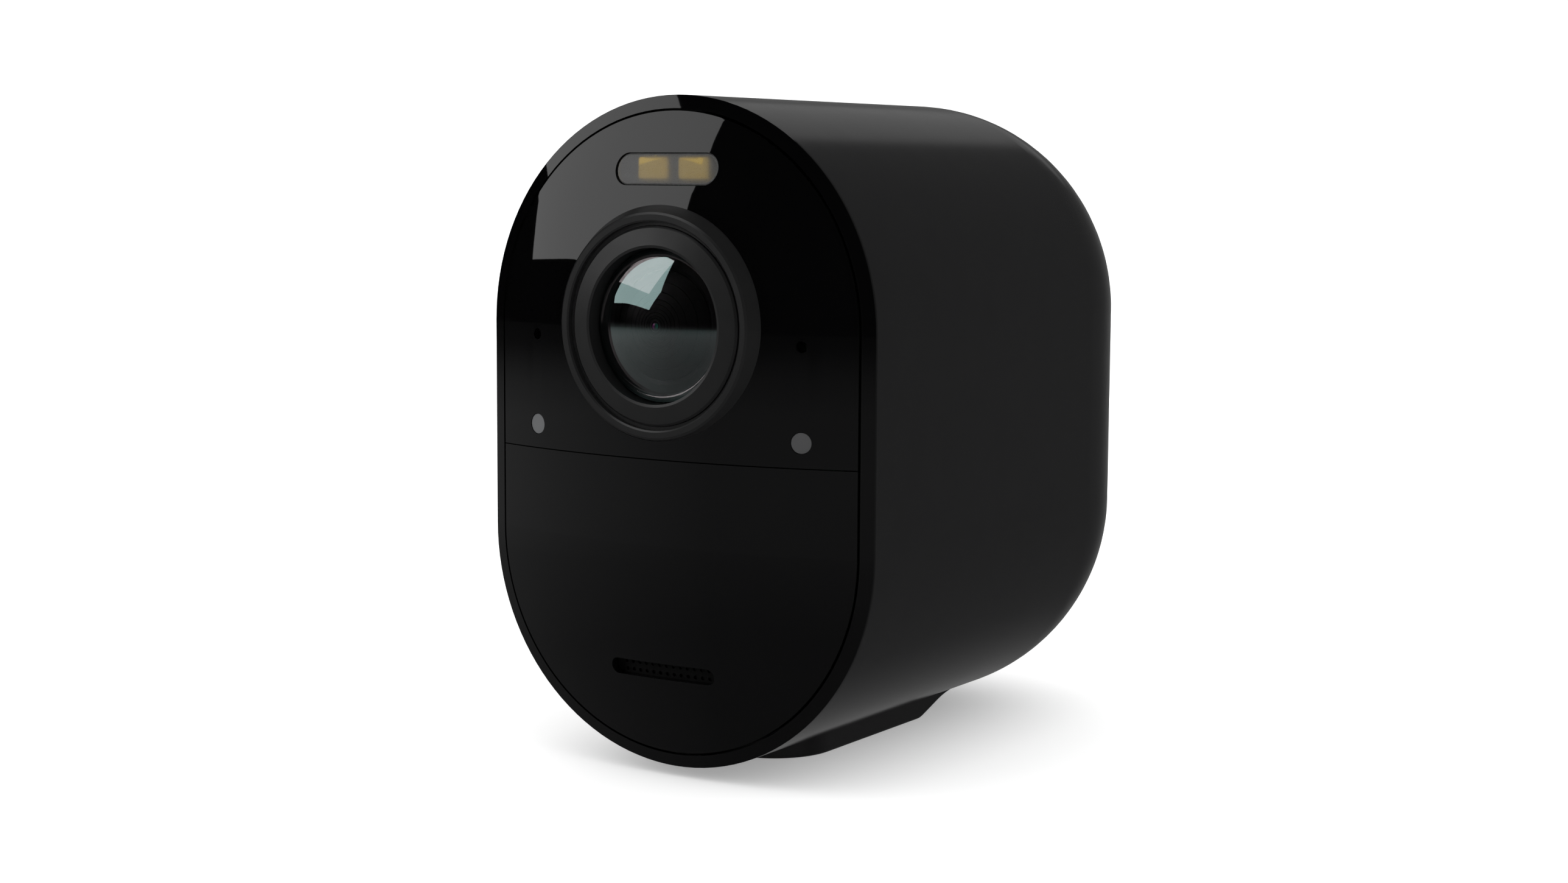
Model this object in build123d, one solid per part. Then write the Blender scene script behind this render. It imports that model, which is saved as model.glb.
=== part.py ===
from build123d import *
import math
import os

# Battery security camera: a camera module that slides forward out of a stadium-shaped housing.
# Millimetres. While modelling, x is to the right seen from behind the camera, y runs back from the
# plane of the rim's outer edge and z is up from the body's axis. Every piece is moved to the row's
# frame on export: x = 0 on the symmetry plane, z = 0 under the foot, y = 0 halfway front to back.

# ---- driving dimensions ----
body_width = 52.0
body_height = 76.2
body_depth = 74.6
rear_round_in = 19.0
rear_round_deep = 21.5
wall = 2.2
rear_wall = 6.5
rim_width = 1.5
rim_band = 0.3
seam = 0.28
dome_rise = 4.41
face_thickness = 2.0
window_thickness = 1.2
split_z = -2.37
split_gap = 0.12

lens_z = 12.5
lens_skirt_r = 13.42
lens_ring_r = 12.64
lens_ring_inner_r = 11.6
lens_neck_r = 11.95
inner_bezel_r = 11.15
glass_r = 8.65
glass_thickness = 2.1
glass_radius = 22.0
lens_ring_proud = 0.53
spot_recess = 0.12
dot_recess = 0.08

spot_z = 29.86
spot_length = 13.94
spot_height = 3.66
led_width = 3.9
led_height = 3.2
led_pitch = 5.4
slot_z = -26.6
slot_length = 14.1
slot_height = 1.85
dot_x = 18.04
dot_z = 0.42
dot_r = 1.19
mic_z = 10.85
mic_r = 0.64

foot_width = 16.0
foot_drop = 1.35
foot_front_y = 12.4
foot_rear_y = 42.1
foot_edge_round = 0.4
ramp_angle = 19.0
ramp_blend = 17.5

fit = 0.05
clear = 0.3
slide_gap = 0.7
case_wall = 1.5
front_recess = 4.2
seal_thickness = 0.5
frame_back_y = 3.6
frame_plate = 1.0
tub_back_y = 14.0
screw_x = 15.0
screw_z = 24.0
screw_r = 0.95
screw_length = 6.0
screw_head_r = 1.7
screw_head = 0.9
screw_socket_r = 0.5
screw_post_r = 2.1

press = 1.0
button_length_x = 9.0
button_length_y = 6.0
button_corner = 2.0
button_recess = 0.3
button_flange = 0.7
flange_thickness = 0.8
ridge_half_x = 2.0
ridge_half_y = 0.3
well_floor = 0.75
pivot_y = 14.0
lever_thickness = 1.0
lever_width = 7.0
lever_play = 0.1
lever_tail = 1.5
hook_y = 6.6
hook_length = 1.5
hook_rise = 0.5
ear_thickness = 1.6
ear_half_y = 1.6
pin_r = 0.6
hub_r = 1.2
pin_running = 0.05
spring_wire = 0.18
spring_turns = 3
spring_pitch = 0.42

thread_y = 34.0
thread_r = 2.55
thread_length = 5.6
insert_r = 4.3
boss_wall = 1.2
socket_recess = 0.2

port_y = 54.0
port_length = 13.0
port_width = 7.0
port_depth = 1.7
tray_thickness = 0.7
contact_pitch = 2.6
contact_r = 0.7
contact_proud = 0.35
port_magnet_r = 1.4
magnet_proud = 0.1
dish_radius = 26.0
dish_depth = 3.2
plate_r = 10.0
plate_thickness = 1.6
dock_front_y = 41.0
dock_back_y = 46.0
dock_height = 2.8
dock_half = 6.0
dock_pin_r = 0.5
dock_pin_pitch = 2.4
pad_proud = 0.1
pin_gap = 0.25

board_thickness = 0.8
board_corner = 1.0
board_front_y = 0.8
board_gap = 0.5
led_chip = 0.7
status_half = 0.8
boot_r = 1.6
mic_half_x = 1.4
mic_half_z = 1.0
mic_thickness = 0.9
pir_z = -14.0
pir_r = 4.6
pir_height = 2.9
pir_opening_x = 1.9
pir_opening_z = 1.4
motion_board_x = 13.0
motion_board_z = 6.3
flex_half = 2.5
flex_thickness = 0.3
flex_slot = 4.0
flex_z = -5.0
main_front_y = 17.6
main_thickness = 1.2
can_half = 9.0
can_height = 1.5
spreader_half = 11.0
connector_half_x = 5.0
connector_half_z = 2.0

speaker_half = 8.5
speaker_bottom_z = -31.0
speaker_top_z = -21.0
speaker_front_y = 0.2
speaker_step_y = 5.0
speaker_back_y = 7.0
speaker_corner = 1.5
gasket_hole_z = 1.6
grille_margin = 1.0
grille_thickness = 0.3
perforation = 0.45
perforation_pitch = 0.95
hole_count = 13

battery_width = 25.0
battery_bottom_z = -26.0
battery_top_z = 14.0
battery_front_y = 23.5
battery_length = 31.5
battery_cap = 3.5
battery_round = 4.0
battery_clear = 0.5
case_top_z = 29.5
cap_edge = 0.6
grip_length = 14.0
grip_height = 5.0
grip_depth = 1.2
terminal_pitch = 3.0
terminal_z = -21.0
terminal_half_x = 0.9
terminal_half_z = 2.0
spring_contact_r = 0.6
contact_gap = 0.1

barrel_front_r = 8.2
barrel_rear_r = 7.2
barrel_thread_r = 5.8
barrel_step_y = 3.0
barrel_end_y = 11.6
element_r = 6.4
element_radius = 9.5
element_back_y = 0.2
rear_element_r = 3.6
rear_element_y = 8.0
stop_r = 3.0
holder_front_y = 9.5
holder_back_y = 14.6
holder_half_x = 12.5
holder_half_z = 7.5
coil_x = 9.9
coil_r = 2.4
coil_front_y = 4.0
ircut_travel = 6.5
filter_size = 6.0
filter_thickness = 0.5
carriage_y = 12.5
carriage_thickness = 0.9
carriage_gap = 0.35
carriage_half_z = 4.2
carriage_rim = 1.0
sensor_seat = 0.6
sensor_thickness = 1.2
sensor_board_x = 10.0

sync_travel = 0.6
sync_z = 22.0
sync_r = 3.0
sync_flange_r = 3.8
sync_flange = 0.8
sync_proud = 0.3
switch_half = 3.0
switch_height = 2.4
antenna_thickness = 0.3
antenna_front_y = 28.0
antenna_back_y = 46.0
antenna_margin = 3.0

# ---- sizes that follow ----
half_width = body_width / 2
half_straight = body_height / 2 - half_width
dome_radius = (half_width**2 + dome_rise**2) / (2 * dome_rise)
housing_bottom_z = -body_height / 2
foot_z = housing_bottom_z - foot_drop
axis_z = -foot_z
ring_front_y = -dome_rise - lens_ring_proud
rim_y = -(body_depth + ring_front_y) / 2
cavity_floor_z = housing_bottom_z + wall
cavity_back_y = body_depth - rear_wall
face_inset = rim_width + seam
tub_inset = wall + slide_gap
place = Pos(0, rim_y, axis_z)


# ---- shapes shared by the pieces ----
def dome_y(radius):
    """Depth of the pillowed front face at this distance from the body's spine."""
    return -dome_rise + dome_radius - math.sqrt(dome_radius**2 - radius**2)


def front_plane(y):
    """Sketch plane facing forward at this depth, with x to the right and z up."""
    return Plane.XZ.offset(-y)


def back(sketch, y0, y1):
    """Solid of a front-facing sketch between two depths."""
    return extrude(front_plane(y0) * sketch, amount=-(y1 - y0))


def stadium(inset, y0, y1):
    """Upright stadium prism, this far inside the body's outline."""
    outline = Rot(0, 0, 90) * SlotCenterToCenter(2 * half_straight, 2 * (half_width - inset))
    return back(outline, y0, y1)


def disc(radius, y0, y1, x=0.0, z=0.0):
    """Round bar along y."""
    return back(Pos(x, z) * Circle(radius), y0, y1)


def tube(outer_r, inner_r, y0, y1, x=0.0, z=0.0):
    """Round sleeve along y."""
    return back(Pos(x, z) * (Circle(outer_r) - Circle(inner_r)), y0, y1)


def oval(length, height, y0, y1, x=0.0, z=0.0):
    """Lying stadium bar along y."""
    return back(Pos(x, z) * SlotOverall(length, height), y0, y1)


def block(x0, x1, y0, y1, z0, z1):
    """Box between two corners."""
    return Pos((x0 + x1) / 2, (y0 + y1) / 2, (z0 + z1) / 2) * Box(x1 - x0, y1 - y0, z1 - z0)


def plate(x0, x1, z0, z1, y0, y1, corner):
    """Upright plate with rounded corners between two depths."""
    outline = Pos((x0 + x1) / 2, (z0 + z1) / 2) * RectangleRounded(x1 - x0, z1 - z0, corner)
    return back(outline, y0, y1)


def spin(points, x=0.0, z=0.0):
    """Solid of revolution about a line along y; points are (radius, depth)."""
    profile = make_face(Polyline(*points, close=True))
    return Pos(x, 0, z) * revolve(profile, Axis.Y)


def pillow(inset, lift, back_y):
    """Solid behind the domed front surface moved back by lift, down to a flat back."""
    ball = Sphere(dome_radius)
    round_front = Cylinder(dome_radius, 2 * half_straight)
    round_front = round_front + Pos(0, 0, half_straight) * ball + Pos(0, 0, -half_straight) * ball
    apex_y = -dome_rise + lift
    return stadium(inset, apex_y - 1, back_y) & (Pos(0, apex_y + dome_radius, 0) * round_front)


def dome_skin(inset, thickness, lift=0.0):
    """Even skin that follows the domed front."""
    back_y = dome_y(half_width) + lift + thickness + 2
    return pillow(inset, lift, back_y) - pillow(inset - 1, lift + thickness, back_y + 1)


def run_round(profile):
    """Solid of a half profile, from the spine outwards, run round the body's stadium outline."""
    cap = revolve(profile, Axis.Y, 360)
    side = extrude(profile, amount=half_straight, both=True)
    ends = Pos(0, 0, half_straight) * cap + Pos(0, 0, -half_straight) * cap
    return side + mirror(side, Plane.YZ) + ends


def bullet(inset, y0, y1):
    """Body outline run back to a rounded rear end, this far inside the outer skin."""
    radius = half_width - inset
    across = rear_round_in - inset
    along = rear_round_deep - inset
    corner = EllipticalCenterArc((radius - across, y1 - along), across, along, arc_size=90)
    sides = Polyline((radius - across, y1), (0, y1), (0, y0), (radius, y0), (radius, y1 - along))
    return run_round(make_face(corner + sides))


def upright(outline, z, height, y=0.0, x=0.0):
    """Sketch raised along z from this height."""
    return Pos(x, y, z) * extrude(outline, amount=height)


def cross_bar(radius, length, x, y, z):
    """Round bar along x about a centre."""
    return Pos(x, y, z) * Rot(0, 90, 0) * Cylinder(radius, length)


def above(z):
    """Everything above a height."""
    return block(-body_width, body_width, -body_depth, body_depth, z, body_height)


def below(z):
    """Everything below a height."""
    return block(-body_width, body_width, -body_depth, body_depth, -body_height, z)


nodes = {}

# ---- housing: shell, foot, rim ----
foot_r = foot_width / 2
foot_centre_y = foot_front_y + foot_r
foot_top_z = housing_bottom_z + wall
foot_rise = foot_top_z - foot_z
side_z = housing_bottom_z + half_width - math.sqrt(half_width**2 - foot_r**2)
slope = math.radians(ramp_angle)
blend_rise = ramp_blend * (1 - math.cos(slope))
blend_start_z = side_z - blend_rise
blend_start_y = foot_rear_y + (blend_start_z - foot_z) / math.tan(slope)
foot_end_y = blend_start_y + ramp_blend * math.sin(slope)
blend_mid_y = blend_start_y + ramp_blend * (math.sin(slope) - math.sin(slope / 2))
blend_mid_z = side_z - ramp_blend * (1 - math.cos(slope / 2))
foot_plan = Pos(0, foot_centre_y) * Circle(foot_r)
foot_straight = foot_end_y - foot_centre_y
foot_plan += Pos(0, foot_centre_y + foot_straight / 2) * Rectangle(foot_width, foot_straight)
foot = upright(foot_plan, foot_z, foot_rise)
ramp_curve = Polyline((foot_end_y + 1, side_z), (foot_end_y + 1, foot_z - 1), (foot_rear_y, foot_z - 1),
                      (foot_rear_y, foot_z), (blend_start_y, blend_start_z))
ramp_curve += ThreePointArc((blend_start_y, blend_start_z), (blend_mid_y, blend_mid_z), (foot_end_y, side_z))
ramp_curve += Line((foot_end_y, side_z), (foot_end_y + 1, side_z))
ramp = extrude(Plane.YZ * make_face(ramp_curve), amount=foot_width, both=True)
foot = foot - ramp
foot = fillet(foot.faces().sort_by(Axis.Z)[0].edges(), foot_edge_round)

boss_r = insert_r + boss_wall
insert_top_z = foot_z + socket_recess + thread_length
boss_top_z = insert_top_z + case_wall / 2
boss = upright(Circle(boss_r), housing_bottom_z, boss_top_z - housing_bottom_z, thread_y)
port_floor_z = housing_bottom_z + port_depth
port_pad_z = port_floor_z + wall
pad_margin = 2.0
port_pad = block(-port_length / 2 - pad_margin, port_length / 2 + pad_margin,
                 port_y - port_width / 2 - pad_margin, port_y + port_width / 2 + pad_margin,
                 port_floor_z, port_pad_z)

cavity = bullet(wall, rim_band - 1, cavity_back_y)
shell = bullet(0, rim_band, body_depth) + foot
shell = shell - cavity - stadium(rim_width, rim_band - 1, front_recess)

# ---- latch well under the module ----
button_flange_clear = button_flange + clear
well_half = button_length_x / 2 + button_flange_clear + clear
well_front_y = foot_centre_y - button_length_y / 2 - button_flange_clear
well_back_y = foot_centre_y + button_length_y / 2 + button_flange_clear
well_floor_z = foot_z + well_floor
lever_bottom_z = cavity_floor_z - lever_play
lever_top_z = lever_bottom_z + lever_thickness
pivot_z = (lever_bottom_z + lever_top_z) / 2
button_arm = foot_centre_y - pivot_y
lever_tip_y = hook_y - hook_length / 2
lever_rear_y = foot_centre_y + lever_tail
tip_drop = press * (pivot_y - lever_tip_y) / button_arm
lever_half = lever_width / 2
runway_floor_z = lever_bottom_z - tip_drop - 1.5 * lever_play
runway_front_y = lever_tip_y - hook_length / 2
runway_half = lever_half + clear
runway = block(-runway_half, runway_half, runway_front_y, well_front_y + 1,
               runway_floor_z, cavity_floor_z + 1)
well = block(-well_half, well_half, well_front_y, well_back_y, well_floor_z, cavity_floor_z + 1)
mouth_outline = RectangleRounded(button_length_x + 2 * clear, button_length_y + 2 * clear, button_corner)
button_mouth = upright(mouth_outline, foot_z - 1, 3, foot_centre_y)
ear_inner = lever_half + clear + 0.2
ear_outer = ear_inner + ear_thickness
ear_top_z = pivot_z + hub_r + lever_play
ears = block(-ear_outer, -ear_inner, pivot_y - ear_half_y, pivot_y + ear_half_y,
             cavity_floor_z - 0.5, ear_top_z)
ears += mirror(ears, Plane.YZ)
pin_hole = cross_bar(pin_r, 2 * ear_outer, 0, pivot_y, pivot_z)

# ---- housing: cut-outs and the shell itself ----
dish_centre_y = body_depth - dish_depth + dish_radius
dish = Pos(0, dish_centre_y, 0) * Sphere(dish_radius)
plate_pocket = disc(plate_r + fit, cavity_back_y - 1, cavity_back_y + plate_thickness)
insert_hole = upright(Circle(insert_r), foot_z - 1, insert_top_z - foot_z + 1, thread_y)
port_outline = SlotOverall(port_length, port_width)
port_hole = upright(port_outline, foot_z - 1, port_floor_z - foot_z + 1, port_y)
shell = shell + boss + port_pad + ears
shell = shell - dish - plate_pocket - insert_hole - port_hole
shell = shell - runway - well - button_mouth - pin_hole
nodes["housing_shell"] = shell

rim_outline = stadium(0, -dome_rise - 1, rim_band) - stadium(rim_width, -dome_rise - 2, rim_band + 1)
nodes["rim_trim"] = pillow(0, 0, rim_band) & rim_outline

# ---- tripod socket ----
insert_outline = Circle(insert_r) - Circle(thread_r)
nodes["thread_insert"] = upright(insert_outline, foot_z + socket_recess, thread_length, thread_y)

# ---- rear magnet plate ----
nodes["magnet_plate"] = disc(plate_r, cavity_back_y, cavity_back_y + plate_thickness)

# ---- charge port: tray, two contacts, two magnets ----
tray_z = port_floor_z - tray_thickness
port_magnet_x = (port_length - port_width) / 2 + 0.6
tray_outline = SlotOverall(port_length - 2 * fit, port_width - 2 * fit)
tray = upright(tray_outline, tray_z, tray_thickness, port_y)
contacts = []
magnets = []
for side in (-1, 1):
    contact_stem = upright(Circle(contact_r), tray_z - contact_proud, contact_proud + tray_thickness,
                           port_y, side * contact_pitch / 2)
    magnet = upright(Circle(port_magnet_r), tray_z - magnet_proud, magnet_proud + tray_thickness,
                     port_y, side * port_magnet_x)
    contacts.append(contact_stem)
    magnets.append(magnet)
    tray = tray - contact_stem - magnet
nodes["charge_port_tray"] = tray
nodes["charge_contacts"] = Compound(contacts)
nodes["charge_magnets"] = Compound(magnets)

# ---- dock: the pins that carry the charge into the module ----
case_bottom_z = battery_bottom_z - battery_clear - case_wall
dock_top_z = cavity_floor_z + dock_height
dock_pin_top_z = case_bottom_z - pad_proud - pin_gap
dock_y = (dock_front_y + dock_back_y) / 2
dock = block(-dock_half, dock_half, dock_front_y, dock_back_y, cavity_floor_z - 0.4, dock_top_z)
pins = []
pads = []
for step in (-1.5, -0.5, 0.5, 1.5):
    x = step * dock_pin_pitch
    pins.append(upright(Circle(dock_pin_r), dock_top_z - 1, dock_pin_top_z - dock_top_z + 1, dock_y, x))
    pads.append(block(x - 0.8, x + 0.8, dock_front_y + 0.5, dock_back_y - 0.5,
                      case_bottom_z - pad_proud, case_bottom_z + 0.4))
nodes["dock_pins"] = Compound(pins)
dock = dock - nodes["dock_pins"]
nodes["dock_block"] = dock - nodes["housing_shell"]
nodes["port_flex"] = block(-flex_half, flex_half, dock_back_y, port_y + 2,
                           port_pad_z, port_pad_z + flex_thickness)

# ---- release button, lever, pin and spring ----
button_bottom_z = foot_z + button_recess
flange_bottom_z = well_floor_z + lever_play
button_top_z = lever_bottom_z - lever_play
button_foot = RectangleRounded(button_length_x, button_length_y, button_corner - 0.2)
button = upright(button_foot, button_bottom_z, flange_bottom_z - button_bottom_z, foot_centre_y)
button = fillet(button.faces().sort_by(Axis.Z)[0].edges(), 0.2)
flange_outline = RectangleRounded(button_length_x + 2 * button_flange,
                                  button_length_y + 2 * button_flange, button_corner)
button += upright(flange_outline, flange_bottom_z, flange_thickness, foot_centre_y)
button += block(-ridge_half_x, ridge_half_x, foot_centre_y - ridge_half_y, foot_centre_y + ridge_half_y,
                flange_bottom_z, button_top_z)
nodes["release_button"] = button

spring_r = pin_r + 0.15 + spring_wire
spring_x = lever_half - spring_turns * spring_pitch
hub_right_x = spring_x - spring_wire - lever_play
lever = block(-lever_half, lever_half, lever_tip_y, lever_rear_y, lever_bottom_z, lever_top_z)
hook = block(-lever_half + 1, lever_half - 1, lever_tip_y, lever_tip_y + hook_length,
             lever_bottom_z, lever_top_z + hook_rise)
hub = cross_bar(hub_r, hub_right_x + lever_half, (hub_right_x - lever_half) / 2, pivot_y, pivot_z)
spring_bay = block(hub_right_x, lever_half + 1, pivot_y - ear_half_y, pivot_y + ear_half_y,
                   lever_bottom_z - 2, lever_top_z + 2)
lever = lever - spring_bay + hook + hub
nodes["latch_lever"] = lever - cross_bar(pin_r + pin_running, 3 * lever_width, 0, pivot_y, pivot_z)
nodes["latch_pin"] = cross_bar(pin_r, 2 * ear_outer, 0, pivot_y, pivot_z)
coil_path = Helix(spring_pitch, spring_turns * spring_pitch, spring_r)
coil_start = Plane(coil_path @ 0, z_dir=coil_path % 0)
coil = sweep(coil_start * Circle(spring_wire), path=coil_path)
nodes["latch_spring"] = Pos(spring_x, pivot_y, pivot_z) * Rot(0, 90, 0) * coil

# ---- lens opening, windows and sensors of the front ----
lens_opening = disc(lens_neck_r + fit, -10, 10, 0, lens_z)
spot_opening = oval(spot_length, spot_height, -10, 10, 0, spot_z)
slot_opening = oval(slot_length, slot_height, -10, 10, 0, slot_z)
dots = [disc(dot_r, -10, 10, side * dot_x, dot_z) for side in (-1, 1)]
mic_holes = [disc(mic_r, -10, 10, side * dot_x, mic_z) for side in (-1, 1)]

face = dome_skin(face_inset, face_thickness) & above(split_z + split_gap / 2)
face = face - lens_opening - spot_opening
for hole in dots + mic_holes:
    face = face - hole
nodes["upper_face"] = face
nodes["motion_window"] = dome_skin(face_inset, window_thickness) & below(split_z - split_gap / 2)
nodes["motion_window"] = nodes["motion_window"] - slot_opening

spot_window = oval(spot_length - 2 * fit, spot_height - 2 * fit, -10, 10, 0, spot_z)
nodes["spotlight_window"] = spot_window & dome_skin(face_inset, window_thickness, spot_recess)

pipes = []
for side in (-1, 1):
    pipe = disc(dot_r - fit, -dome_rise, board_front_y, side * dot_x, dot_z)
    pipes.append(pipe & pillow(face_inset, dot_recess, board_front_y))
nodes["light_sensor_window"] = pipes[0] & block(-body_width, 0, -9, board_front_y - led_chip, -9, 9)
nodes["status_window"] = pipes[1] & block(0, body_width, -9, board_front_y - led_chip, -9, 9)

# ---- lens bezel, inner bezel and cover glass ----
skirt_y = dome_y(lens_skirt_r)
ring_points = [(lens_ring_inner_r, ring_front_y + 0.16), (lens_ring_inner_r + 0.18, ring_front_y)]
ring_points += [(lens_ring_r - 0.25, ring_front_y), (lens_ring_r, ring_front_y + 0.2)]
ring_points += [(lens_skirt_r, skirt_y), (lens_skirt_r, 0), (lens_ring_inner_r, 0)]
neck_back_y = -0.8
bezel = spin(ring_points, 0, lens_z) - pillow(0, 0, 2)
groove_y = ring_front_y + 0.75
bezel += tube(lens_neck_r, inner_bezel_r + fit, groove_y, neck_back_y, 0, lens_z)
nodes["lens_bezel"] = bezel

glass_front_y = ring_front_y + 0.05
seat_y = glass_front_y + glass_thickness
inner_points = [(glass_r + fit, ring_front_y + 0.12), (glass_r + 0.35, ring_front_y + 0.05)]
inner_points += [(inner_bezel_r - 0.25, ring_front_y + 0.34), (inner_bezel_r, ring_front_y + 0.55)]
inner_points += [(inner_bezel_r, neck_back_y), (barrel_front_r + clear, neck_back_y)]
inner_points += [(barrel_front_r + clear, seat_y + 0.5), (glass_r - 0.5, seat_y + 0.5)]
inner_points += [(glass_r - 0.5, seat_y), (glass_r + fit, seat_y)]
nodes["inner_bezel"] = spin(inner_points, 0, lens_z)
glass_ball = Pos(0, glass_front_y + glass_radius, lens_z) * Sphere(glass_radius)
nodes["cover_glass"] = disc(glass_r, glass_front_y, seat_y, 0, lens_z) & glass_ball

# ---- front frame and its seal ----
skin_edge_y = dome_y(half_width - face_inset)
frame_front_y = skin_edge_y + face_thickness
flange_inset = tub_inset + case_wall
plate_front_y = frame_back_y - frame_plate
barrel_hole_r = barrel_front_r + clear
frame = stadium(face_inset, frame_front_y, frame_back_y)
frame = frame - stadium(flange_inset, frame_front_y - 1, plate_front_y)
frame = frame - disc(barrel_hole_r, 0, frame_back_y + 1, 0, lens_z)
frame = frame - block(-speaker_half - clear, speaker_half + clear, 0, frame_back_y + 1,
                      speaker_bottom_z - clear, speaker_top_z + clear)
frame = frame - block(-flex_slot, flex_slot, 0, frame_back_y + 1, flex_z - 1, flex_z + 1)
screw_sites = [(x * screw_x, z * screw_z) for x in (-1, 1) for z in (-1, 1)]
screws = []
for x, z in screw_sites:
    screw = disc(screw_head_r, plate_front_y - screw_head, plate_front_y, x, z)
    screw += disc(screw_r, plate_front_y, plate_front_y + screw_length, x, z)
    screws.append(screw - disc(screw_socket_r, plate_front_y - 1, plate_front_y - screw_head / 2, x, z))
    frame = frame - disc(screw_r, 0, frame_back_y + 1, x, z)
nodes["front_frame"] = frame
nodes["frame_screws"] = Compound(screws)
seal_inset = wall - clear
seal = stadium(seal_inset, frame_back_y, frame_back_y + seal_thickness)
nodes["seal_ring"] = seal - stadium(tub_inset, frame_back_y - 1, front_recess + 1)

# ---- front board with its lamps, light sensor and microphones ----
board_back_y = board_front_y + board_thickness
board = stadium(flange_inset + clear, board_front_y, board_back_y) & above(flex_z - 1)
board = board - disc(barrel_hole_r, 0, 9, 0, lens_z)
nodes["front_board"] = board
leds = []
for side in (-1, 1):
    x = side * led_pitch / 2
    leds.append(block(x - led_width / 2, x + led_width / 2, board_front_y - led_chip, board_front_y,
                      spot_z - led_height / 2, spot_z + led_height / 2))
nodes["spotlight_leds"] = Compound(leds)
nodes["status_led"] = block(dot_x - status_half, dot_x + status_half, board_front_y - led_chip, board_front_y,
                            dot_z - status_half, dot_z + status_half)
boots = []
mics = []
for side in (-1, 1):
    x = side * dot_x
    boot = tube(boot_r, mic_r, dome_y(dot_x) + face_thickness / 2, board_front_y, x, mic_z)
    boots.append(boot - face)
    mics.append(block(x - mic_half_x, x + mic_half_x, board_back_y, board_back_y + mic_thickness,
                      mic_z - mic_half_z, mic_z + mic_half_z))
nodes["mic_boots"] = Compound(boots)
nodes["microphones"] = Compound(mics)

# ---- motion sensor behind the lower window ----
pir_back_y = plate_front_y - board_thickness
pir_front_y = pir_back_y - pir_height
pir = disc(pir_r, pir_front_y, pir_back_y, 0, pir_z)
pir += disc(pir_r + 0.3, pir_back_y - 0.5, pir_back_y, 0, pir_z)
pir_opening = block(-pir_opening_x, pir_opening_x, -9, pir_front_y + 0.3,
                    pir_z - pir_opening_z, pir_z + pir_opening_z)
nodes["motion_sensor"] = pir - pir_opening
nodes["motion_board"] = plate(-motion_board_x, motion_board_x, pir_z - motion_board_z, pir_z + motion_board_z,
                              pir_back_y, plate_front_y, board_corner)

# ---- speaker with its grille and gasket ----
grille = oval(slot_length + 2 * grille_margin, slot_height + 1.5 * grille_margin, -9, skin_edge_y, 0, slot_z)
grille = grille & dome_skin(face_inset, grille_thickness, window_thickness)
for step in range(hole_count):
    x = (step - (hole_count - 1) / 2) * perforation_pitch
    for z in (slot_z - perforation_pitch / 2, slot_z + perforation_pitch / 2):
        grille = grille - disc(perforation / 2, -9, 2, x, z)
nodes["speaker_grille"] = grille
gasket = plate(-speaker_half, speaker_half, speaker_bottom_z + 1, speaker_top_z - 1,
               -3, speaker_front_y, speaker_corner)
gasket = gasket - plate(-slot_length / 2, slot_length / 2, slot_z - gasket_hole_z, slot_z + gasket_hole_z,
                        -4, 1, board_corner)
nodes["speaker_gasket"] = gasket & pillow(face_inset, window_thickness + grille_thickness, frame_back_y)
speaker = plate(-speaker_half, speaker_half, speaker_bottom_z, speaker_top_z,
                speaker_front_y, speaker_step_y, speaker_corner)
speaker += plate(-speaker_half + 2, speaker_half - 2, speaker_bottom_z + 1.5, speaker_top_z - 1.5,
                 speaker_step_y, speaker_back_y, board_corner)
nodes["speaker"] = speaker

# ---- lens: barrel, elements and holder ----
barrel_front_y = seat_y + 0.6
element_front_y = barrel_front_y + 0.3
barrel_points = [(element_r + 0.5, barrel_front_y), (barrel_front_r, barrel_front_y)]
barrel_points += [(barrel_front_r, barrel_step_y), (barrel_rear_r, barrel_step_y)]
barrel_points += [(barrel_rear_r, holder_front_y), (barrel_thread_r, holder_front_y)]
barrel_points += [(barrel_thread_r, barrel_end_y), (rear_element_r, barrel_end_y)]
barrel_points += [(rear_element_r, rear_element_y), (stop_r, rear_element_y), (stop_r, element_back_y + 2)]
barrel_points += [(element_r - 2, element_back_y + 2), (element_r - 2, element_back_y + 1)]
barrel_points += [(element_r - 1, element_back_y + 1), (element_r - 1, element_back_y)]
barrel_points += [(element_r, element_back_y), (element_r, element_front_y)]
nodes["lens_barrel"] = spin(barrel_points, 0, lens_z)
element_ball = Pos(0, element_front_y + element_radius, lens_z) * Sphere(element_radius)
nodes["front_element"] = disc(element_r, element_front_y, element_back_y, 0, lens_z) & element_ball
nodes["rear_element"] = disc(rear_element_r, rear_element_y, rear_element_y + 2.4, 0, lens_z)

carriage_x0 = -ircut_travel - filter_size / 2 - carriage_rim
carriage_x1 = filter_size / 2 + carriage_rim
holder = plate(-holder_half_x, holder_half_x, lens_z - holder_half_z, lens_z + holder_half_z,
               holder_front_y, holder_back_y, board_corner)
holder = holder - disc(barrel_thread_r, 0, barrel_end_y + 0.2, 0, lens_z)
holder = holder - block(carriage_x0 - carriage_gap, -carriage_x0 + carriage_gap,
                        carriage_y - carriage_gap, carriage_y + carriage_thickness + carriage_gap,
                        lens_z - carriage_half_z - carriage_gap, lens_z + carriage_half_z + carriage_gap)
window_half = filter_size / 2
holder = holder - block(-window_half, window_half, barrel_end_y - 1, holder_back_y + 1,
                        lens_z - window_half, lens_z + window_half)
nodes["lens_holder"] = holder
carriage = block(carriage_x0, carriage_x1, carriage_y, carriage_y + carriage_thickness,
                 lens_z - carriage_half_z, lens_z + carriage_half_z)
filters = []
pane_half = filter_size / 2 - 0.2
light_half = pane_half - 0.5
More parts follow.
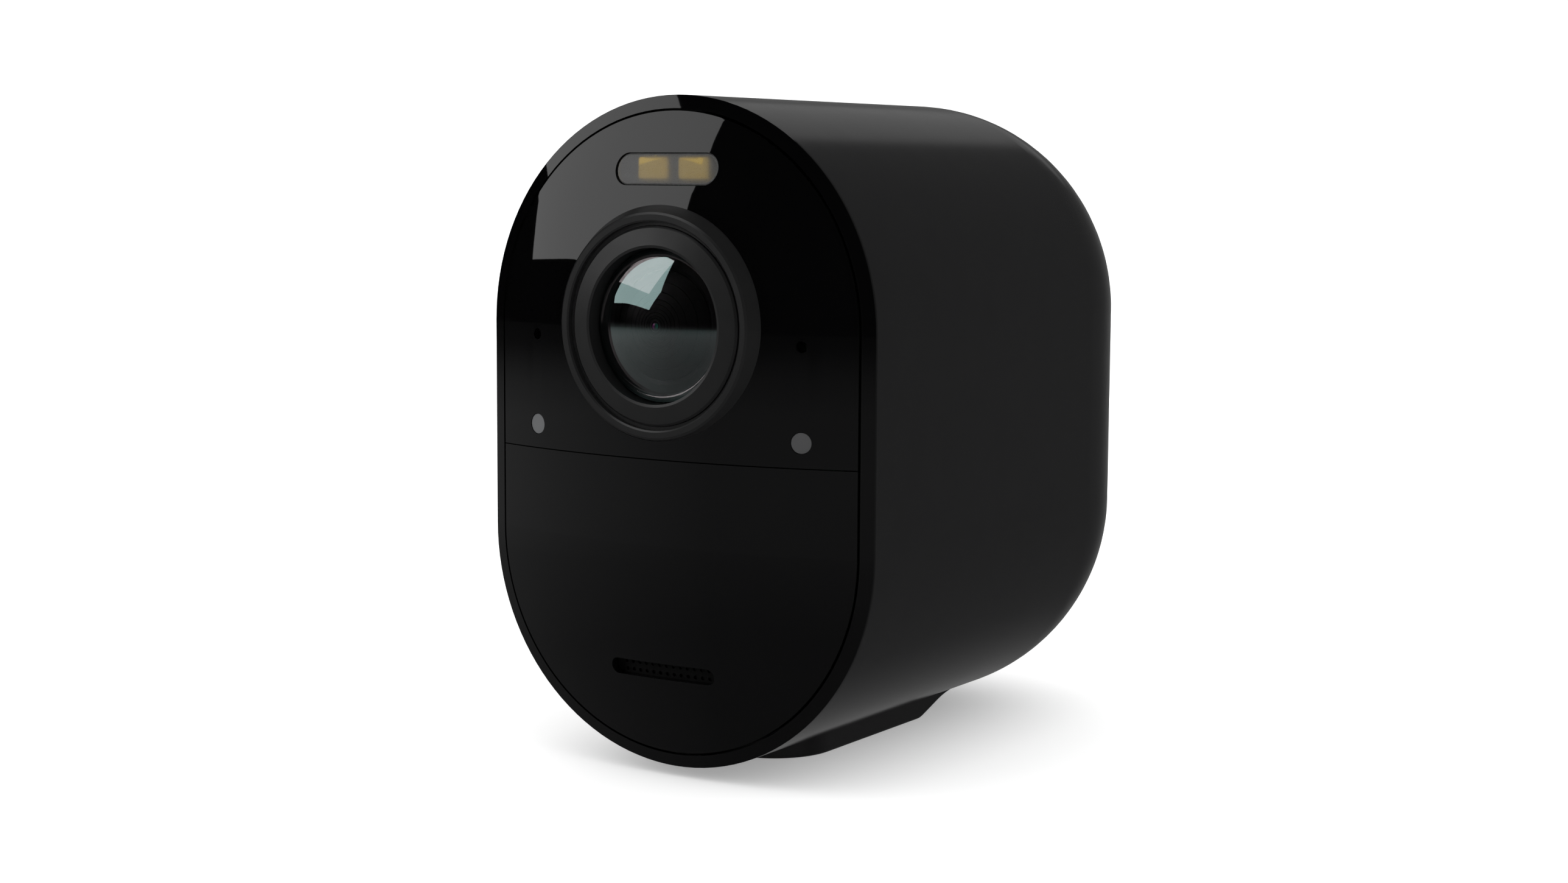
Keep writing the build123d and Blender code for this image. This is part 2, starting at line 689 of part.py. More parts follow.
for x in (0, -ircut_travel):
    pane = block(x - pane_half, x + pane_half, carriage_y + 0.2, carriage_y + 0.2 + filter_thickness,
                 lens_z - pane_half, lens_z + pane_half)
    opening = block(x - light_half, x + light_half, carriage_y - 1, carriage_y + 2,
                    lens_z - light_half, lens_z + light_half)
    carriage = carriage - pane - opening
    filters.append(pane)
nodes["ircut_carriage"] = carriage
nodes["ircut_filter"] = filters[0]
nodes["clear_filter"] = filters[1]
nodes["ircut_coil"] = disc(coil_r, coil_front_y, holder_front_y, coil_x, lens_z)

# ---- image sensor, main board and shields ----
sensor_board_front_y = holder_back_y + sensor_seat
sensor_board_back_y = sensor_board_front_y + board_thickness
sensor_half = window_half - 0.1
nodes["image_sensor"] = block(-sensor_half, sensor_half, sensor_board_front_y - sensor_thickness,
                              sensor_board_front_y, lens_z - sensor_half, lens_z + sensor_half)
nodes["sensor_board"] = plate(-sensor_board_x, sensor_board_x, lens_z - holder_half_z, lens_z + holder_half_z,
                              sensor_board_front_y, sensor_board_back_y, board_corner)
bay_half = battery_width / 2 + battery_clear
case_inner_half = max(bay_half, holder_half_x + battery_clear)
case_half = case_inner_half + case_wall
main_back_y = main_front_y + main_thickness
main_half = case_inner_half - board_gap
nodes["board_connector"] = block(-connector_half_x, connector_half_x, sensor_board_back_y, main_front_y,
                                 lens_z - connector_half_z, lens_z + connector_half_z)
nodes["main_board"] = plate(-main_half, main_half, case_bottom_z + case_wall + board_gap,
                            case_top_z - case_wall - board_gap, main_front_y, main_back_y, board_corner)
can_back_y = main_back_y + can_height
upper_can = plate(-can_half, can_half, 2, 20, main_back_y, can_back_y, board_corner)
lower_can = plate(-can_half, can_half, -16, -1, main_back_y, can_back_y, board_corner)
nodes["shield_cans"] = Compound([upper_can, lower_can])
bay_wall_front_y = battery_front_y - battery_clear - case_wall
nodes["heat_spreader"] = plate(-spreader_half, spreader_half, -17, 21,
                               can_back_y, bay_wall_front_y, board_corner)
nodes["board_flex"] = block(-flex_half, flex_half, board_back_y, main_front_y,
                            flex_z - flex_thickness / 2, flex_z + flex_thickness / 2)

# ---- module case: tub behind the frame, sleeve with the battery bay ----
groove_half = ear_outer + clear
groove_top_z = ear_top_z + 2 * clear
case_back_y = battery_front_y + battery_length
shelf_z = battery_top_z + battery_clear
case = stadium(tub_inset, frame_back_y, tub_back_y)
case = case - block(-groove_half, groove_half, 0, tub_back_y + 1, -body_height, groove_top_z)
case += plate(-case_half, case_half, case_bottom_z, case_top_z, tub_back_y - 1, case_back_y, battery_round)
hollow = stadium(flange_inset, frame_back_y - 1, tub_back_y - case_wall)
hollow = hollow - block(-groove_half - case_wall, groove_half + case_wall, 0, tub_back_y + 1,
                        -body_height, groove_top_z + case_wall)
case = case - hollow
inner_corner = battery_round - case_wall
case = case - plate(-case_inner_half, case_inner_half, case_bottom_z + case_wall, case_top_z - case_wall,
                    tub_back_y - 2, bay_wall_front_y, inner_corner)
case = case - plate(-bay_half, bay_half, case_bottom_z + case_wall, shelf_z,
                    battery_front_y - battery_clear, case_back_y + 1, inner_corner)
case = case - plate(-case_inner_half, case_inner_half, shelf_z + case_wall, case_top_z - case_wall,
                    battery_front_y, case_back_y - case_wall, inner_corner)
catch_half = lever_half - 0.5
case = case - block(-catch_half, catch_half, lever_tip_y - clear, lever_tip_y + hook_length + 2 * clear,
                    -body_height, groove_top_z + case_wall + 1)
for x, z in screw_sites:
    case = case + disc(screw_post_r, frame_back_y, tub_back_y - 1, x, z)
    case = case - disc(screw_r, frame_back_y - 1, plate_front_y + screw_length, x, z)
nodes["dock_pads"] = Compound(pads)
case = case - nodes["dock_pads"]

terminals = []
springs = []
for step in (-1.5, -0.5, 0.5, 1.5):
    x = step * terminal_pitch
    terminals.append(block(x - terminal_half_x, x + terminal_half_x, battery_front_y, battery_front_y + 0.5,
                           terminal_z - terminal_half_z, terminal_z + terminal_half_z))
    springs.append(disc(spring_contact_r, main_back_y, battery_front_y - contact_gap, x, terminal_z))
nodes["battery_contacts"] = Compound(springs)
case = case - nodes["battery_contacts"]

# ---- sync button and its switch, in the top rear compartment ----
sync_wall_y = case_back_y - case_wall
sync_front_y = sync_wall_y - lever_play - sync_flange
case = case - disc(sync_r + clear, sync_wall_y - 1, case_back_y + 1, 0, sync_z)
nodes["module_case"] = case
sync = disc(sync_r, sync_front_y, case_back_y + sync_proud, 0, sync_z)
sync = fillet(sync.faces().sort_by(Axis.Y)[-1].edges(), 0.25)
nodes["sync_button"] = sync + disc(sync_flange_r, sync_front_y, sync_front_y + sync_flange, 0, sync_z)
switch_back_y = sync_front_y - sync_travel - 1.5 * lever_play
switch_front_y = switch_back_y - switch_height
nodes["sync_switch"] = plate(-switch_half, switch_half, sync_z - switch_half, sync_z + switch_half,
                             switch_front_y, switch_back_y, 0.5)
nodes["sync_board"] = plate(-case_inner_half, case_inner_half, shelf_z + case_wall, case_top_z - case_wall,
                            switch_front_y - board_thickness, switch_front_y, inner_corner)
antenna_bottom_z = shelf_z + case_wall + antenna_margin
antenna_top_z = case_top_z - case_wall - antenna_margin
antenna_left = block(-case_inner_half, -case_inner_half + antenna_thickness, antenna_front_y, antenna_back_y,
                     antenna_bottom_z, antenna_top_z)
nodes["antennas"] = Compound([antenna_left, mirror(antenna_left, Plane.YZ)])

# ---- battery ----
battery_half = battery_width / 2
battery_corner = inner_corner - battery_clear
cap_front_y = case_back_y - 0.5
cap_back_y = case_back_y + battery_cap
cell = plate(-battery_half, battery_half, battery_bottom_z, battery_top_z,
             battery_front_y, cap_front_y, battery_corner)
nodes["battery_terminals"] = Compound(terminals)
nodes["battery_pack"] = cell - nodes["battery_terminals"]
cap = plate(-battery_half, battery_half, battery_bottom_z, battery_top_z,
            cap_front_y, cap_back_y, battery_corner)
cap = fillet(cap.faces().sort_by(Axis.Y)[-1].edges(), cap_edge)
grip_z = (battery_bottom_z + battery_top_z) / 2
grip = oval(grip_length, grip_height, cap_back_y - grip_depth, cap_back_y + 1, 0, grip_z)
nodes["battery_cap"] = cap - grip

# ---- write the pieces ----
os.makedirs("parts", exist_ok=True)
for name, solid in nodes.items():
    export_step(place * solid, f"parts/{name}.step")
print(len(nodes), "pieces; row y of the rim", round(rim_y, 3), "row z of the body axis", round(axis_z, 3))
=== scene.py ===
import math
import random
import bmesh
import bpy
from mathutils import Matrix, Vector


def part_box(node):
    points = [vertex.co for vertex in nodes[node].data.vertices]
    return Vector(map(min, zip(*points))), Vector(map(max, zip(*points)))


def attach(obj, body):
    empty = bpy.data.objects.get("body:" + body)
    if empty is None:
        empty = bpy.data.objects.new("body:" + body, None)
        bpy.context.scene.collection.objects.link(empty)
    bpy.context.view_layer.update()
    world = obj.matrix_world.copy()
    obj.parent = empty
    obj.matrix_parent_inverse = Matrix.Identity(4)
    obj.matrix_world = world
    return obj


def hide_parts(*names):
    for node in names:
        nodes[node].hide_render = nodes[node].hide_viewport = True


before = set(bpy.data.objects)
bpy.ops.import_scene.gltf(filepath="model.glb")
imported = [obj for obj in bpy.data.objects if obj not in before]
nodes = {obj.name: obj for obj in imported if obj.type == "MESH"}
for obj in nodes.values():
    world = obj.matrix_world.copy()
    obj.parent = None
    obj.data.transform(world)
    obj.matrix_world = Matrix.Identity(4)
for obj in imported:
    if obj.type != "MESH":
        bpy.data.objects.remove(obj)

scene = bpy.context.scene
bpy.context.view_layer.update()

# ---------------------------------------------------------------------------
# The table and the studio: a white sheet under the camera and plain soft light
# from all round. Dark glossy plastic shows only what it mirrors, so the cards
# and the room that it mirrors are built here too, and light nothing else.
# ---------------------------------------------------------------------------
MM = 0.001


def noise(tree, scale, detail=4.0, roughness=0.55):
    """Noise in the object's own metres, so that the grain has a real size."""
    place = tree.nodes.new("ShaderNodeTexCoord")
    grain = tree.nodes.new("ShaderNodeTexNoise")
    grain.inputs["Scale"].default_value = scale
    grain.inputs["Detail"].default_value = detail
    grain.inputs["Roughness"].default_value = roughness
    tree.links.new(place.outputs["Object"], grain.inputs["Vector"])
    return grain


def spread(tree, source, low, high, start=0.3, end=0.7):
    """Maps an output onto a range of values."""
    ramp = tree.nodes.new("ShaderNodeMapRange")
    ramp.inputs["From Min"].default_value = start
    ramp.inputs["From Max"].default_value = end
    ramp.inputs["To Min"].default_value = low
    ramp.inputs["To Max"].default_value = high
    tree.links.new(source, ramp.inputs["Value"])
    return ramp.outputs["Result"]


def shades(tree, source, dark, light):
    """Colour that wanders between two shades."""
    mix = tree.nodes.new("ShaderNodeMix")
    mix.data_type = "RGBA"
    mix.inputs["A"].default_value = (*dark, 1.0)
    mix.inputs["B"].default_value = (*light, 1.0)
    tree.links.new(source, mix.inputs["Factor"])
    return mix.outputs["Result"]


def fresh_material(name, **fixed):
    """New material with values that are the same all over its surface set on the shader."""
    material = bpy.data.materials.new(name)
    material.use_nodes = True
    tree = material.node_tree
    shader = tree.nodes["Principled BSDF"]
    for socket, value in fixed.items():
        shader.inputs[socket.replace("_", " ")].default_value = value
    return material, tree, shader


def emboss(tree, shader, height, depth):
    """Real relief of this depth in metres, from a 0 to 1 height."""
    relief = tree.nodes.new("ShaderNodeBump")
    relief.inputs["Strength"].default_value = 1.0
    relief.inputs["Distance"].default_value = depth
    tree.links.new(height, relief.inputs["Height"])
    tree.links.new(relief.outputs["Normal"], shader.inputs["Normal"])


def moulded(name, dark, light, rough, grain_size, bump=0.0, **fixed):
    """Moulded, cast or painted finish: two shades, a range of roughness and a fine grain.

    grain_size is the size of the grain in metres, bump its depth in metres.
    """
    material, tree, shader = fresh_material(name, **fixed)
    broad = noise(tree, 1.0 / (grain_size * 40), 3.0)
    fine = noise(tree, 1.0 / grain_size, 5.0)
    tree.links.new(shades(tree, broad.outputs["Fac"], dark, light), shader.inputs["Base Color"])
    tree.links.new(spread(tree, broad.outputs["Fac"], *rough), shader.inputs["Roughness"])
    if bump:
        emboss(tree, shader, fine.outputs["Fac"], bump)
    return material


# The sheet glows faintly, as one lit from below does, and nothing mirrors it.
paper = moulded("studio_paper", (0.92, 0.92, 0.92), (0.95, 0.95, 0.95), (0.55, 0.65), 0.0008,
                Specular_IOR_Level=0.0, Emission_Color=(1.0, 1.0, 1.0, 1.0),
                Emission_Strength=0.27)
floor_half_width = 4.0
floor_mesh = bpy.data.meshes.new("studio_floor")
floor_form = bmesh.new()
bmesh.ops.create_grid(floor_form, x_segments=8, y_segments=8, size=floor_half_width)
floor_form.to_mesh(floor_mesh)
floor_form.free()
floor = bpy.data.objects.new("studio_floor", floor_mesh)
scene.collection.objects.link(floor)
floor.data.materials.append(paper)
floor.visible_glossy = False
floor.visible_transmission = False

world = bpy.data.worlds.new("studio")
world.use_nodes = True
world.node_tree.nodes["Background"].inputs["Color"].default_value = (1.0, 1.0, 1.0, 1.0)
world.node_tree.nodes["Background"].inputs["Strength"].default_value = 1.25
world.cycles_visibility.glossy = False
world.cycles_visibility.transmission = False
scene.world = world
scene.view_settings.view_transform = "Standard"

rim_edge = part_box("rim_trim")[1].y - 0.3 * MM
housing_low, housing_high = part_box("housing_shell")
half_width = (housing_high.x - housing_low.x) / 2
axis_height = housing_high.z - 38.1 * MM


def glow(name, strength):
    """Plain light source with a slow drift in its brightness, as a lit cloth has."""
    material = bpy.data.materials.new(name)
    material.use_nodes = True
    tree = material.node_tree
    tree.nodes.clear()
    lamp = tree.nodes.new("ShaderNodeEmission")
    out = tree.nodes.new("ShaderNodeOutputMaterial")
    drift = noise(tree, 1.2, 1.0)
    tree.links.new(spread(tree, drift.outputs["Fac"], 0.92 * strength, 1.06 * strength),
                   lamp.inputs["Strength"])
    tree.links.new(lamp.outputs["Emission"], out.inputs["Surface"])
    return material


def mirrored_only(piece):
    """Keeps a studio surface for reflections alone."""
    piece.visible_camera = False
    piece.visible_diffuse = False
    piece.visible_volume_scatter = False
    piece.visible_shadow = False
    scene.collection.objects.link(piece)


def card(name, corners, strength):
    """Glowing flat card with these corners."""
    form = bmesh.new()
    form.faces.new([form.verts.new(corner) for corner in corners])
    mesh = bpy.data.meshes.new(name)
    form.to_mesh(mesh)
    form.free()
    mesh.materials.append(glow(name, strength))
    mirrored_only(bpy.data.objects.new(name, mesh))


def toward(azimuth, height):
    """Direction by its angle from straight ahead of the camera's front, right side positive."""
    around = math.radians(azimuth)
    lift = math.radians(height)
    return Vector((math.sin(around) * math.cos(lift), -math.cos(around) * math.cos(lift),
                   math.sin(lift)))


# Softbox to the left of the front, a flag cutting its lower right corner.
face_middle = Vector((0, rim_edge - 4 * MM, axis_height + 18 * MM))
softbox_axis = toward(-52, 16)
softbox_distance = 0.8
high_softbox_distance = 0.9
softbox_corners = []
for azimuth, height in ((-67.5, 4.4), (-56, 5.6), (-46, 5.2), (-37.8, 4.2), (-31, 14),
                        (-28.6, 31), (-71, 31)):
    ray = toward(azimuth, height)
    softbox_corners.append(face_middle + ray * (softbox_distance / ray.dot(softbox_axis)))
card("softbox", softbox_corners, 1.6)
card("high_softbox", [face_middle + toward(azimuth, height) * high_softbox_distance
                      for azimuth, height in ((-80, 39), (-22, 39), (-6, 68), (-95, 68))], 1.4)

# Overhead strip behind and to the left, seen along the top of the side.
strip_z = axis_height + 0.40
strip_left = -0.72
strip_right = -0.11
strip_front = rim_edge + 0.45
strip_back = rim_edge + 1.45
card("top_strip", [(strip_right, strip_front, strip_z), (strip_left, strip_front, strip_z),
                   (strip_left, strip_back, strip_z), (strip_right, strip_back, strip_z)], 0.25)

# The room: black in front, dim behind, and the pale table fading out towards the front.
room_radius = 4.0
room_form = bmesh.new()
bmesh.ops.create_uvsphere(room_form, u_segments=48, v_segments=32, radius=room_radius)
room_mesh = bpy.data.meshes.new("studio_room")
room_form.to_mesh(room_mesh)
room_form.free()
room = bpy.data.objects.new("studio_room", room_mesh)
room.location = (0, rim_edge, axis_height)
room_paint = bpy.data.materials.new("studio_room")
room_paint.use_nodes = True
tree = room_paint.node_tree
tree.nodes.clear()
place = tree.nodes.new("ShaderNodeTexCoord")
axes = tree.nodes.new("ShaderNodeSeparateXYZ")
tree.links.new(place.outputs["Object"], axes.inputs["Vector"])
table_glow = tree.nodes.new("ShaderNodeValToRGB")
table_glow.color_ramp.elements[0].position = 0.0
table_glow.color_ramp.elements[0].color = (0.08, 0.08, 0.08, 1)
table_glow.color_ramp.elements[1].position = 1.0
table_glow.color_ramp.elements[1].color = (0.0, 0.0, 0.0, 1)
for position, level in ((0.60, 0.085), (0.80, 0.12), (0.87, 0.165), (0.903, 0.16), (0.918, 0.11),
                        (0.933, 0.025), (0.955, 0.0)):
    stop = table_glow.color_ramp.elements.new(position)
    stop.color = (level, level, level, 1)
tree.links.new(spread(tree, axes.outputs["Z"], 0.0, 1.0, -room_radius, 0.0),
               table_glow.inputs["Fac"])


def joined(operation, first, second):
    """Two values of the room joined by this operation."""
    step = tree.nodes.new("ShaderNodeMath")
    step.operation = operation
    tree.links.new(first, step.inputs[0])
    tree.links.new(second, step.inputs[1])
    return step.outputs["Value"]


table_front = spread(tree, axes.outputs["Y"], 1.0, 0.6, -0.6, 0.6)
table_left = spread(tree, axes.outputs["X"], 1.4, 0.75, -3.6, -1.6)
table = joined("MULTIPLY", table_glow.outputs["Color"],
               joined("MULTIPLY", table_front, table_left))
back_wall = spread(tree, axes.outputs["Y"], 0.0, 0.075, -0.4, 2.4)
back_left = joined("MULTIPLY", spread(tree, axes.outputs["Y"], 0.0, 1.0, 0.8, 2.4),
                   spread(tree, axes.outputs["X"], 0.11, 0.0, -1.6, 0.5))
low_back = joined("MULTIPLY", back_left, spread(tree, axes.outputs["Z"], 1.0, 0.0, 0.3, 1.1))
room_light = joined("ADD", low_back, joined("MAXIMUM", table, back_wall))
lamp = tree.nodes.new("ShaderNodeEmission")
tree.links.new(room_light, lamp.inputs["Strength"])
out = tree.nodes.new("ShaderNodeOutputMaterial")
tree.links.new(lamp.outputs["Emission"], out.inputs["Surface"])
room_mesh.materials.append(room_paint)
mirrored_only(room)

# The view stands to the right and a little above, close in, so the front narrows slightly.
eye = Vector((160.567, -228.585, 29.806)) * MM
view_lens = 57.07
view_roll = math.radians(0.342)
away = toward(32.599, 6.227)
across = (-away).cross(Vector((0, 0, 1))).normalized()
upward = across.cross(-away)
right = math.cos(view_roll) * across + math.sin(view_roll) * upward
top = -math.sin(view_roll) * across + math.cos(view_roll) * upward
lens_data = bpy.data.cameras.new("view")
lens_data.sensor_width = 36.0
lens_data.lens = view_lens
viewer = bpy.data.objects.new("view", lens_data)
viewer.matrix_world = Matrix((
    (right.x, top.x, away.x, eye.x),
    (right.y, top.y, away.y, eye.y + rim_edge),
    (right.z, top.z, away.z, eye.z + axis_height),
    (0, 0, 0, 1)))
scene.collection.objects.link(viewer)
scene.camera = viewer

# ---------------------------------------------------------------------------
# The housing: one injection-moulded shell of black polycarbonate with its foot,
# spark-eroded to a very fine satin grain, and a polished rim round the front.
# ---------------------------------------------------------------------------

def dress(material, *names):
    """Gives CAD nodes a material."""
    for name in names:
        piece = nodes[name]
        piece.data.materials.clear()
        piece.data.materials.append(material)


housing_satin = moulded("housing_satin", (0.0055, 0.0055, 0.0057), (0.0072, 0.0072, 0.0074),
                        (0.14, 0.17), 0.00010, 0.0000012)
dress(housing_satin, "housing_shell")
black_gloss = moulded("black_gloss", (0.0007, 0.0007, 0.0008), (0.0012, 0.0012, 0.0013),
                      (0.012, 0.03), 0.0005, 0.00000012)
dress(black_gloss, "rim_trim")

# ---------------------------------------------------------------------------
# The tripod socket: a turned brass insert with a real 1/4-20 thread, moulded
# into the boss above the foot.
# ---------------------------------------------------------------------------
BACK = Matrix.Rotation(math.radians(-90), 4, "X")


def lathe(rings, place, turns=96, form=None):
    """Turned form about place's own z axis; rings are (radius, height) round a closed section."""
    form = form or bmesh.new()
    loops = []
    for radius, height in rings:
        loop = []
        for step in range(turns):
            turn = 2 * math.pi * step / turns
            loop.append(form.verts.new(place @ Vector((radius * math.cos(turn),
                                                       radius * math.sin(turn), height))))
        loops.append(loop)
    for index, loop in enumerate(loops):
        following = loops[(index + 1) % len(loops)]
        for step in range(turns):
            after = (step + 1) % turns
            form.faces.new((loop[step], loop[after], following[after], following[step]))
    return form


def turned_solid(rings, place, turns=64, form=None):
    """Turned form whose section starts and ends on the axis."""
    form = form or bmesh.new()
    own = lathe([(max(radius, 1e-7), height) for radius, height in rings], place, turns)
    bmesh.ops.remove_doubles(own, verts=own.verts, dist=5e-7)
    spare = bpy.data.meshes.new("spare")
    own.to_mesh(spare)
    own.free()
    form.from_mesh(spare)
    bpy.data.meshes.remove(spare)
    return form


def make_piece(name, form, material, body, stands_for=(), crease=35):
    """Turns a form into a shown piece that rides a body and stands for CAD nodes."""
    mesh = bpy.data.meshes.new(name)
    bmesh.ops.recalc_face_normals(form, faces=form.faces)
    form.to_mesh(mesh)
    form.free()
    mesh.shade_smooth()
    mesh.set_sharp_from_angle(angle=math.radians(crease))
    mesh.materials.append(material)
    piece = bpy.data.objects.new(name, mesh)
    scene.collection.objects.link(piece)
    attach(piece, body)
    if stands_for:
        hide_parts(*stands_for)
    return piece


def middle(name):
    """Centre of a CAD node at rest."""
    low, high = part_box(name)
    return (low + high) / 2


def metal(name, dark, light, rough, grain_size, bump=0.0, stretch=(1, 1, 1), **fixed):
    """Turned, plated or drawn metal with its tool marks stretched along one axis."""
    material, tree, shader = fresh_material(name, Metallic=1.0, **fixed)
    place = tree.nodes.new("ShaderNodeTexCoord")
    squeeze = tree.nodes.new("ShaderNodeMapping")
    squeeze.inputs["Scale"].default_value = stretch
    tree.links.new(place.outputs["Object"], squeeze.inputs["Vector"])
    marks = tree.nodes.new("ShaderNodeTexNoise")
    marks.inputs["Scale"].default_value = 1.0 / grain_size
    marks.inputs["Detail"].default_value = 4.0
    tree.links.new(squeeze.outputs["Vector"], marks.inputs["Vector"])
    tree.links.new(shades(tree, marks.outputs["Fac"], dark, light), shader.inputs["Base Color"])
    tree.links.new(spread(tree, marks.outputs["Fac"], *rough), shader.inputs["Roughness"])
    if bump:
        emboss(tree, shader, marks.outputs["Fac"], bump)
    return material


thread_pitch = 1.27 * MM
thread_depth = 0.62 * MM
insert_low, insert_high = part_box("thread_insert")
insert_radius = (insert_high.x - insert_low.x) / 2
minor_radius = 2.55 * MM
socket_place = Matrix.Translation((middle("thread_insert").x, middle("thread_insert").y, 0))
socket_form = bmesh.new()
thread_turns = 72
thread_rows = 88
thread_loops = []
for row in range(thread_rows + 1):
    height = insert_low.z + (insert_high.z - insert_low.z) * row / thread_rows
    loop = []
    for step in range(thread_turns):
        turn = 2 * math.pi * step / thread_turns
        phase = (height / thread_pitch - step / thread_turns) % 1.0
        cut = thread_depth * (1 - abs(2 * phase - 1)) * 0.9
        mouth = max(0.0, insert_low.z + 0.7 * MM - height)
        radius = min(minor_radius + max(cut, mouth), insert_radius - 0.4 * MM)
        loop.append(socket_form.verts.new(
            socket_place @ Vector((radius * math.cos(turn), radius * math.sin(turn), height))))
    thread_loops.append(loop)
for height in (insert_high.z, insert_low.z + 0.25 * MM):
    thread_loops.append([socket_form.verts.new(socket_place @ Vector((
        insert_radius * math.cos(2 * math.pi * step / thread_turns),
        insert_radius * math.sin(2 * math.pi * step / thread_turns),
        height))) for step in range(thread_turns)])
thread_loops.append([socket_form.verts.new(socket_place @ Vector((
    (insert_radius - 0.25 * MM) * math.cos(2 * math.pi * step / thread_turns),
    (insert_radius - 0.25 * MM) * math.sin(2 * math.pi * step / thread_turns),
    insert_low.z))) for step in range(thread_turns)])
for index, loop in enumerate(thread_loops):
    following = thread_loops[(index + 1) % len(thread_loops)]
    for step in range(thread_turns):
        after = (step + 1) % thread_turns
        socket_form.faces.new((loop[step], loop[after], following[after], following[step]))
brass = metal("turned_brass", (0.52, 0.36, 0.13), (0.66, 0.49, 0.21), (0.22, 0.34), 0.0004,
              0.000004, (1, 1, 9))
make_piece("tripod_socket", socket_form, brass, "housing", ["thread_insert"])

# ---------------------------------------------------------------------------
# The rear magnet plate: a stamped disc of zinc-plated steel let in behind the
# dish, and the charge port in the foot: a moulded tray with two gold-plated
# domed contacts between two nickel-plated magnets, pressed in.
# ---------------------------------------------------------------------------
zinc_steel = metal("zinc_steel", (0.40, 0.41, 0.42), (0.55, 0.55, 0.55), (0.28, 0.42), 0.0006,
                   0.000003, (1, 6, 1))
dress(zinc_steel, "magnet_plate", "latch_pin")
tray_black = moulded("tray_black", (0.010, 0.010, 0.011), (0.016, 0.016, 0.017), (0.42, 0.55),
                     0.00015, 0.000004)
dress(tray_black, "charge_port_tray", "dock_block")
gold_plate = metal("gold_plate", (0.62, 0.43, 0.13), (0.76, 0.56, 0.22), (0.12, 0.24), 0.0003)
nickel_plate = metal("nickel_plate", (0.46, 0.45, 0.43), (0.60, 0.59, 0.57), (0.10, 0.22), 0.0005)

contact_low, contact_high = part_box("charge_contacts")
contact_radius = 0.7 * MM
contact_form = bmesh.new()
for side in (-1, 1):
    contact_x = side * ((contact_high.x - contact_low.x) / 2 - contact_radius)
    place = Matrix.Translation((contact_x, middle("charge_contacts").y, 0))
    tip = contact_low.z
    turned_solid([(0, tip), (0.3 * MM, tip + 0.03 * MM), (0.52 * MM, tip + 0.12 * MM),
                  (contact_radius, tip + 0.35 * MM), (contact_radius, contact_high.z),
                  (0, contact_high.z)],
                 place, 40, contact_form)
make_piece("charge_contact_pins", contact_form, gold_plate, "housing",
           ["charge_contacts"])

magnet_low, magnet_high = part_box("charge_magnets")
magnet_radius = (magnet_high.y - magnet_low.y) / 2
magnet_form = bmesh.new()
for side in (-1, 1):
    magnet_x = side * ((magnet_high.x - magnet_low.x) / 2 - magnet_radius)
    place = Matrix.Translation((magnet_x, middle("charge_magnets").y, 0))
    tip = magnet_low.z
    turned_solid([(0, tip), (magnet_radius - 0.25 * MM, tip),
                  (magnet_radius - 0.08 * MM, tip + 0.07 * MM),
                  (magnet_radius, tip + 0.25 * MM), (magnet_radius, magnet_high.z),
                  (0, magnet_high.z)],
                 place, 48, magnet_form)
make_piece("charge_port_magnets", magnet_form, nickel_plate, "housing",
           ["charge_magnets"])

# ---------------------------------------------------------------------------
# The dock on the housing's floor: four gold-plated spring pins in a moulded
# block, fed from the charge port by an amber polyimide flex.
# ---------------------------------------------------------------------------
dock_low, dock_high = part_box("dock_pins")
pin_radius = 0.5 * MM
pin_form = bmesh.new()
for step in range(4):
    pin_x = dock_low.x + pin_radius + step * (dock_high.x - dock_low.x - 2 * pin_radius) / 3
    place = Matrix.Translation((pin_x, middle("dock_pins").y, 0))
    turned_solid([(0, dock_low.z), (pin_radius, dock_low.z), (pin_radius, dock_high.z - 1.5 * MM),
                  (0.42 * MM, dock_high.z - 1.4 * MM), (0.34 * MM, dock_high.z - 1.35 * MM),
                  (0.34 * MM, dock_high.z - 0.3 * MM), (0.28 * MM, dock_high.z - 0.12 * MM),
                  (0.15 * MM, dock_high.z - 0.03 * MM), (0, dock_high.z)], place, 36, pin_form)
make_piece("dock_spring_pins", pin_form, gold_plate, "housing", ["dock_pins"])

flex_amber, tree, shader = fresh_material("flex_amber", IOR=1.6)
place = tree.nodes.new("ShaderNodeTexCoord")
traces = tree.nodes.new("ShaderNodeTexWave")
traces.inputs["Scale"].default_value = 420.0
traces.inputs["Distortion"].default_value = 0.0
tree.links.new(place.outputs["Object"], traces.inputs["Vector"])
tree.links.new(shades(tree, spread(tree, traces.outputs["Fac"], 0, 1, 0.45, 0.6),
                      (0.30, 0.12, 0.02), (0.47, 0.22, 0.05)),
               shader.inputs["Base Color"])
tree.links.new(spread(tree, traces.outputs["Fac"], 0.25, 0.4), shader.inputs["Roughness"])
emboss(tree, shader, traces.outputs["Fac"], 0.00002)
dress(flex_amber, "port_flex", "board_flex")

# ---------------------------------------------------------------------------
# The release: a moulded button in the foot lifts the rear of a small lever on a
# steel pin, and a coil of spring wire on the pin brings the hook back up.
# ---------------------------------------------------------------------------
button_matte = moulded("button_matte", (0.012, 0.012, 0.013), (0.018, 0.018, 0.019), (0.40, 0.5),
                       0.0002, 0.000006)
dress(button_matte, "release_button")
acetal_black = moulded("acetal_black", (0.020, 0.020, 0.021), (0.028, 0.028, 0.03), (0.32, 0.42),
                       0.0003, 0.000003)
dress(acetal_black, "latch_lever")
spring_steel = metal("spring_steel", (0.30, 0.30, 0.31), (0.44, 0.44, 0.45), (0.16, 0.28), 0.0002)
dress(spring_steel, "latch_spring")

